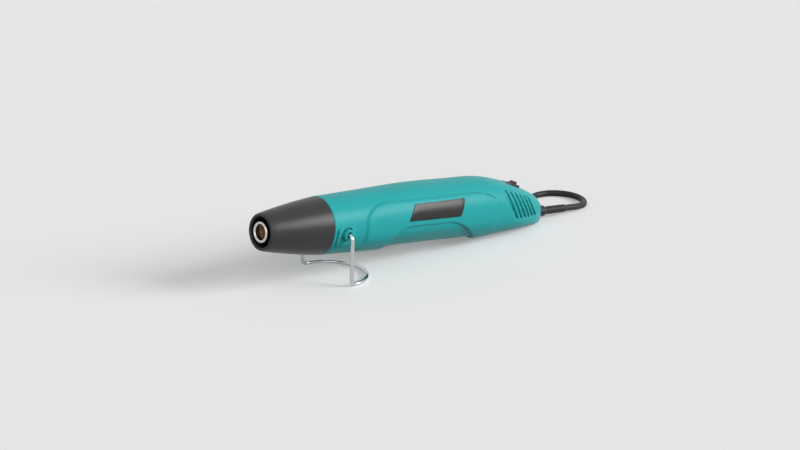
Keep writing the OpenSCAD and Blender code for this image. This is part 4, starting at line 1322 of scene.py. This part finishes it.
plug_rings = (
    [plug_ring(0, 2.3, 2.3, 2), plug_ring(0.3, 2.7, 2.7, 2), plug_ring(8, neck_r, neck_r, 2)]
    + [neck_ring(t) for t in np.linspace(0.1, 1, 8)]
    + [plug_ring(16, plug_half_y - 0.1, plug_half_z - 0.1, 4.2), plug_ring(22, plug_half_y, plug_half_z, 4.5)]
    + [plug_ring(plug_l - b, plug_half_y - a, plug_half_z - a, 4.5) for a, b in quarter(4, 1)]
)
grip_places = [(x, 0, 0) for x in (17, 19, 21, 23)]
plug = joined("plug", [
    lofted("body", plug_rings),
    ribs((1.5, 3.6, 5.7), 2.2, 2.75, 0.5, 0.6, 11, -0.09, 48, plug_black),
    copies("grips", rim((0.9, 12), 6.1, plug_half_z, 0.4, 0.25), grip_places, plug_black),
])
plug_place = Matrix.Translation(plug_start) @ row_frame
finish_piece("plug_moulding", plug, plug_black, "plug_black", "plug_body", place=plug_place)
blade_mid = (7, 0)
blade_face = rounded_box(-1.2, blade_l, -blade_w / 2, blade_w / 2, 1.1)
blade_bevel = (blade_face - blade_mid) * (0.985, 0.94) + blade_mid
blade_sides = [(-0.5, blade_bevel), (-0.3, blade_face), (0.3, blade_face), (0.5, blade_bevel)]
blade_mesh = lofted("blade", [raised(outline, y * blade_t) for y, outline in blade_sides])
blade_mesh = combine(blade_mesh, moved(bar("hole", 1.5, -2, 2, 40), 12.4, 0, 0), "DIFFERENCE")
contacts = copies("blades", blade_mesh, [(plug_l, side * blade_gap / 2, 0) for side in (-1, 1)], blade_metal)
finish_piece("plug_contacts", contacts, blade_metal, "blade_brass", "plug_blades", place=plug_place)


# Floor and light.
# A plain pale floor in an even grey studio. The main lamp is broad and shines from behind the tool on its
# left side, and a weak broader one shines from beside the camera. The camera, polished metal and glass see
# the studio at the level of the background.
def grey(level):
    return (level, level, level, 1)


def seen_directly(tree):
    """1 for a ray from the camera, a mirror-like surface or glass."""
    path = put(tree, "ShaderNodeLightPath").outputs
    seen = maths(tree, "MAXIMUM", path["Is Camera Ray"], path["Is Glossy Ray"])
    return maths(tree, "MAXIMUM", seen, path["Is Transmission Ray"])


def seen_or_lit(tree, seen, seen_level, lit_level):
    """One grey for the rays that see a thing directly, and another for those that only bring its light."""
    levels = {"Factor": seen, "A": grey(lit_level), "B": grey(seen_level)}
    return put(tree, "ShaderNodeMix", levels, data_type="RGBA").outputs["Result"]


studio_grey = 0.83
studio_fill = 0.24
floor_grey = 0.84
floor_bounce = 0.3
floor_glow = 0.22
floor_half = 6
floor_paint = bpy.data.materials.new("floor")
floor_paint.use_nodes = True
paint = floor_paint.node_tree
paint_shader = paint.nodes["Principled BSDF"]
paint_shader.inputs["Roughness"].default_value = 0.9
paint_shader.inputs["Specular IOR Level"].default_value = 0.1
paint_seen = seen_directly(paint)
paint_grey = seen_or_lit(paint, paint_seen, floor_grey, floor_bounce)
paint.links.new(paint_grey, paint_shader.inputs["Base Color"])
paint_shader.inputs["Emission Color"].default_value = grey(1)
glow = maths(paint, "MULTIPLY", paint_seen, floor_glow)
paint.links.new(glow, paint_shader.inputs["Emission Strength"])
floor_corners = [(x * floor_half, y * floor_half, 0) for x, y in ((-1, -1), (1, -1), (1, 1), (-1, 1))]
floor = add_object(mesh_of("floor", floor_corners, [(0, 1, 2, 3)]))
floor.data.materials.append(floor_paint)


def lamp(name, azimuth, elevation, strength, width):
    """Broad far lamp that shines from an azimuth and elevation, with a disc that is width degrees wide."""
    made = add_object(bpy.data.lights.new(name, "SUN"))
    made.data.energy = strength
    made.data.angle = radians(width)
    turn, rise = radians(azimuth), radians(elevation)
    towards = Vector((sin(turn) * cos(rise), -cos(turn) * cos(rise), sin(rise)))
    made.rotation_euler = towards.to_track_quat("Z", "Y").to_euler()
    made.location = towards


lamp("key", 42, 26, 2.3, 30)
lamp("front", -50, 30, 0.7, 50)
room = bpy.data.worlds.new("room")
bpy.context.scene.world = room
room.use_nodes = True
air = room.node_tree
air_grey = seen_or_lit(air, seen_directly(air), studio_grey, studio_fill)
air.links.new(air_grey, air.nodes["Background"].inputs["Color"])
bpy.context.scene.view_settings.view_transform = "Standard"
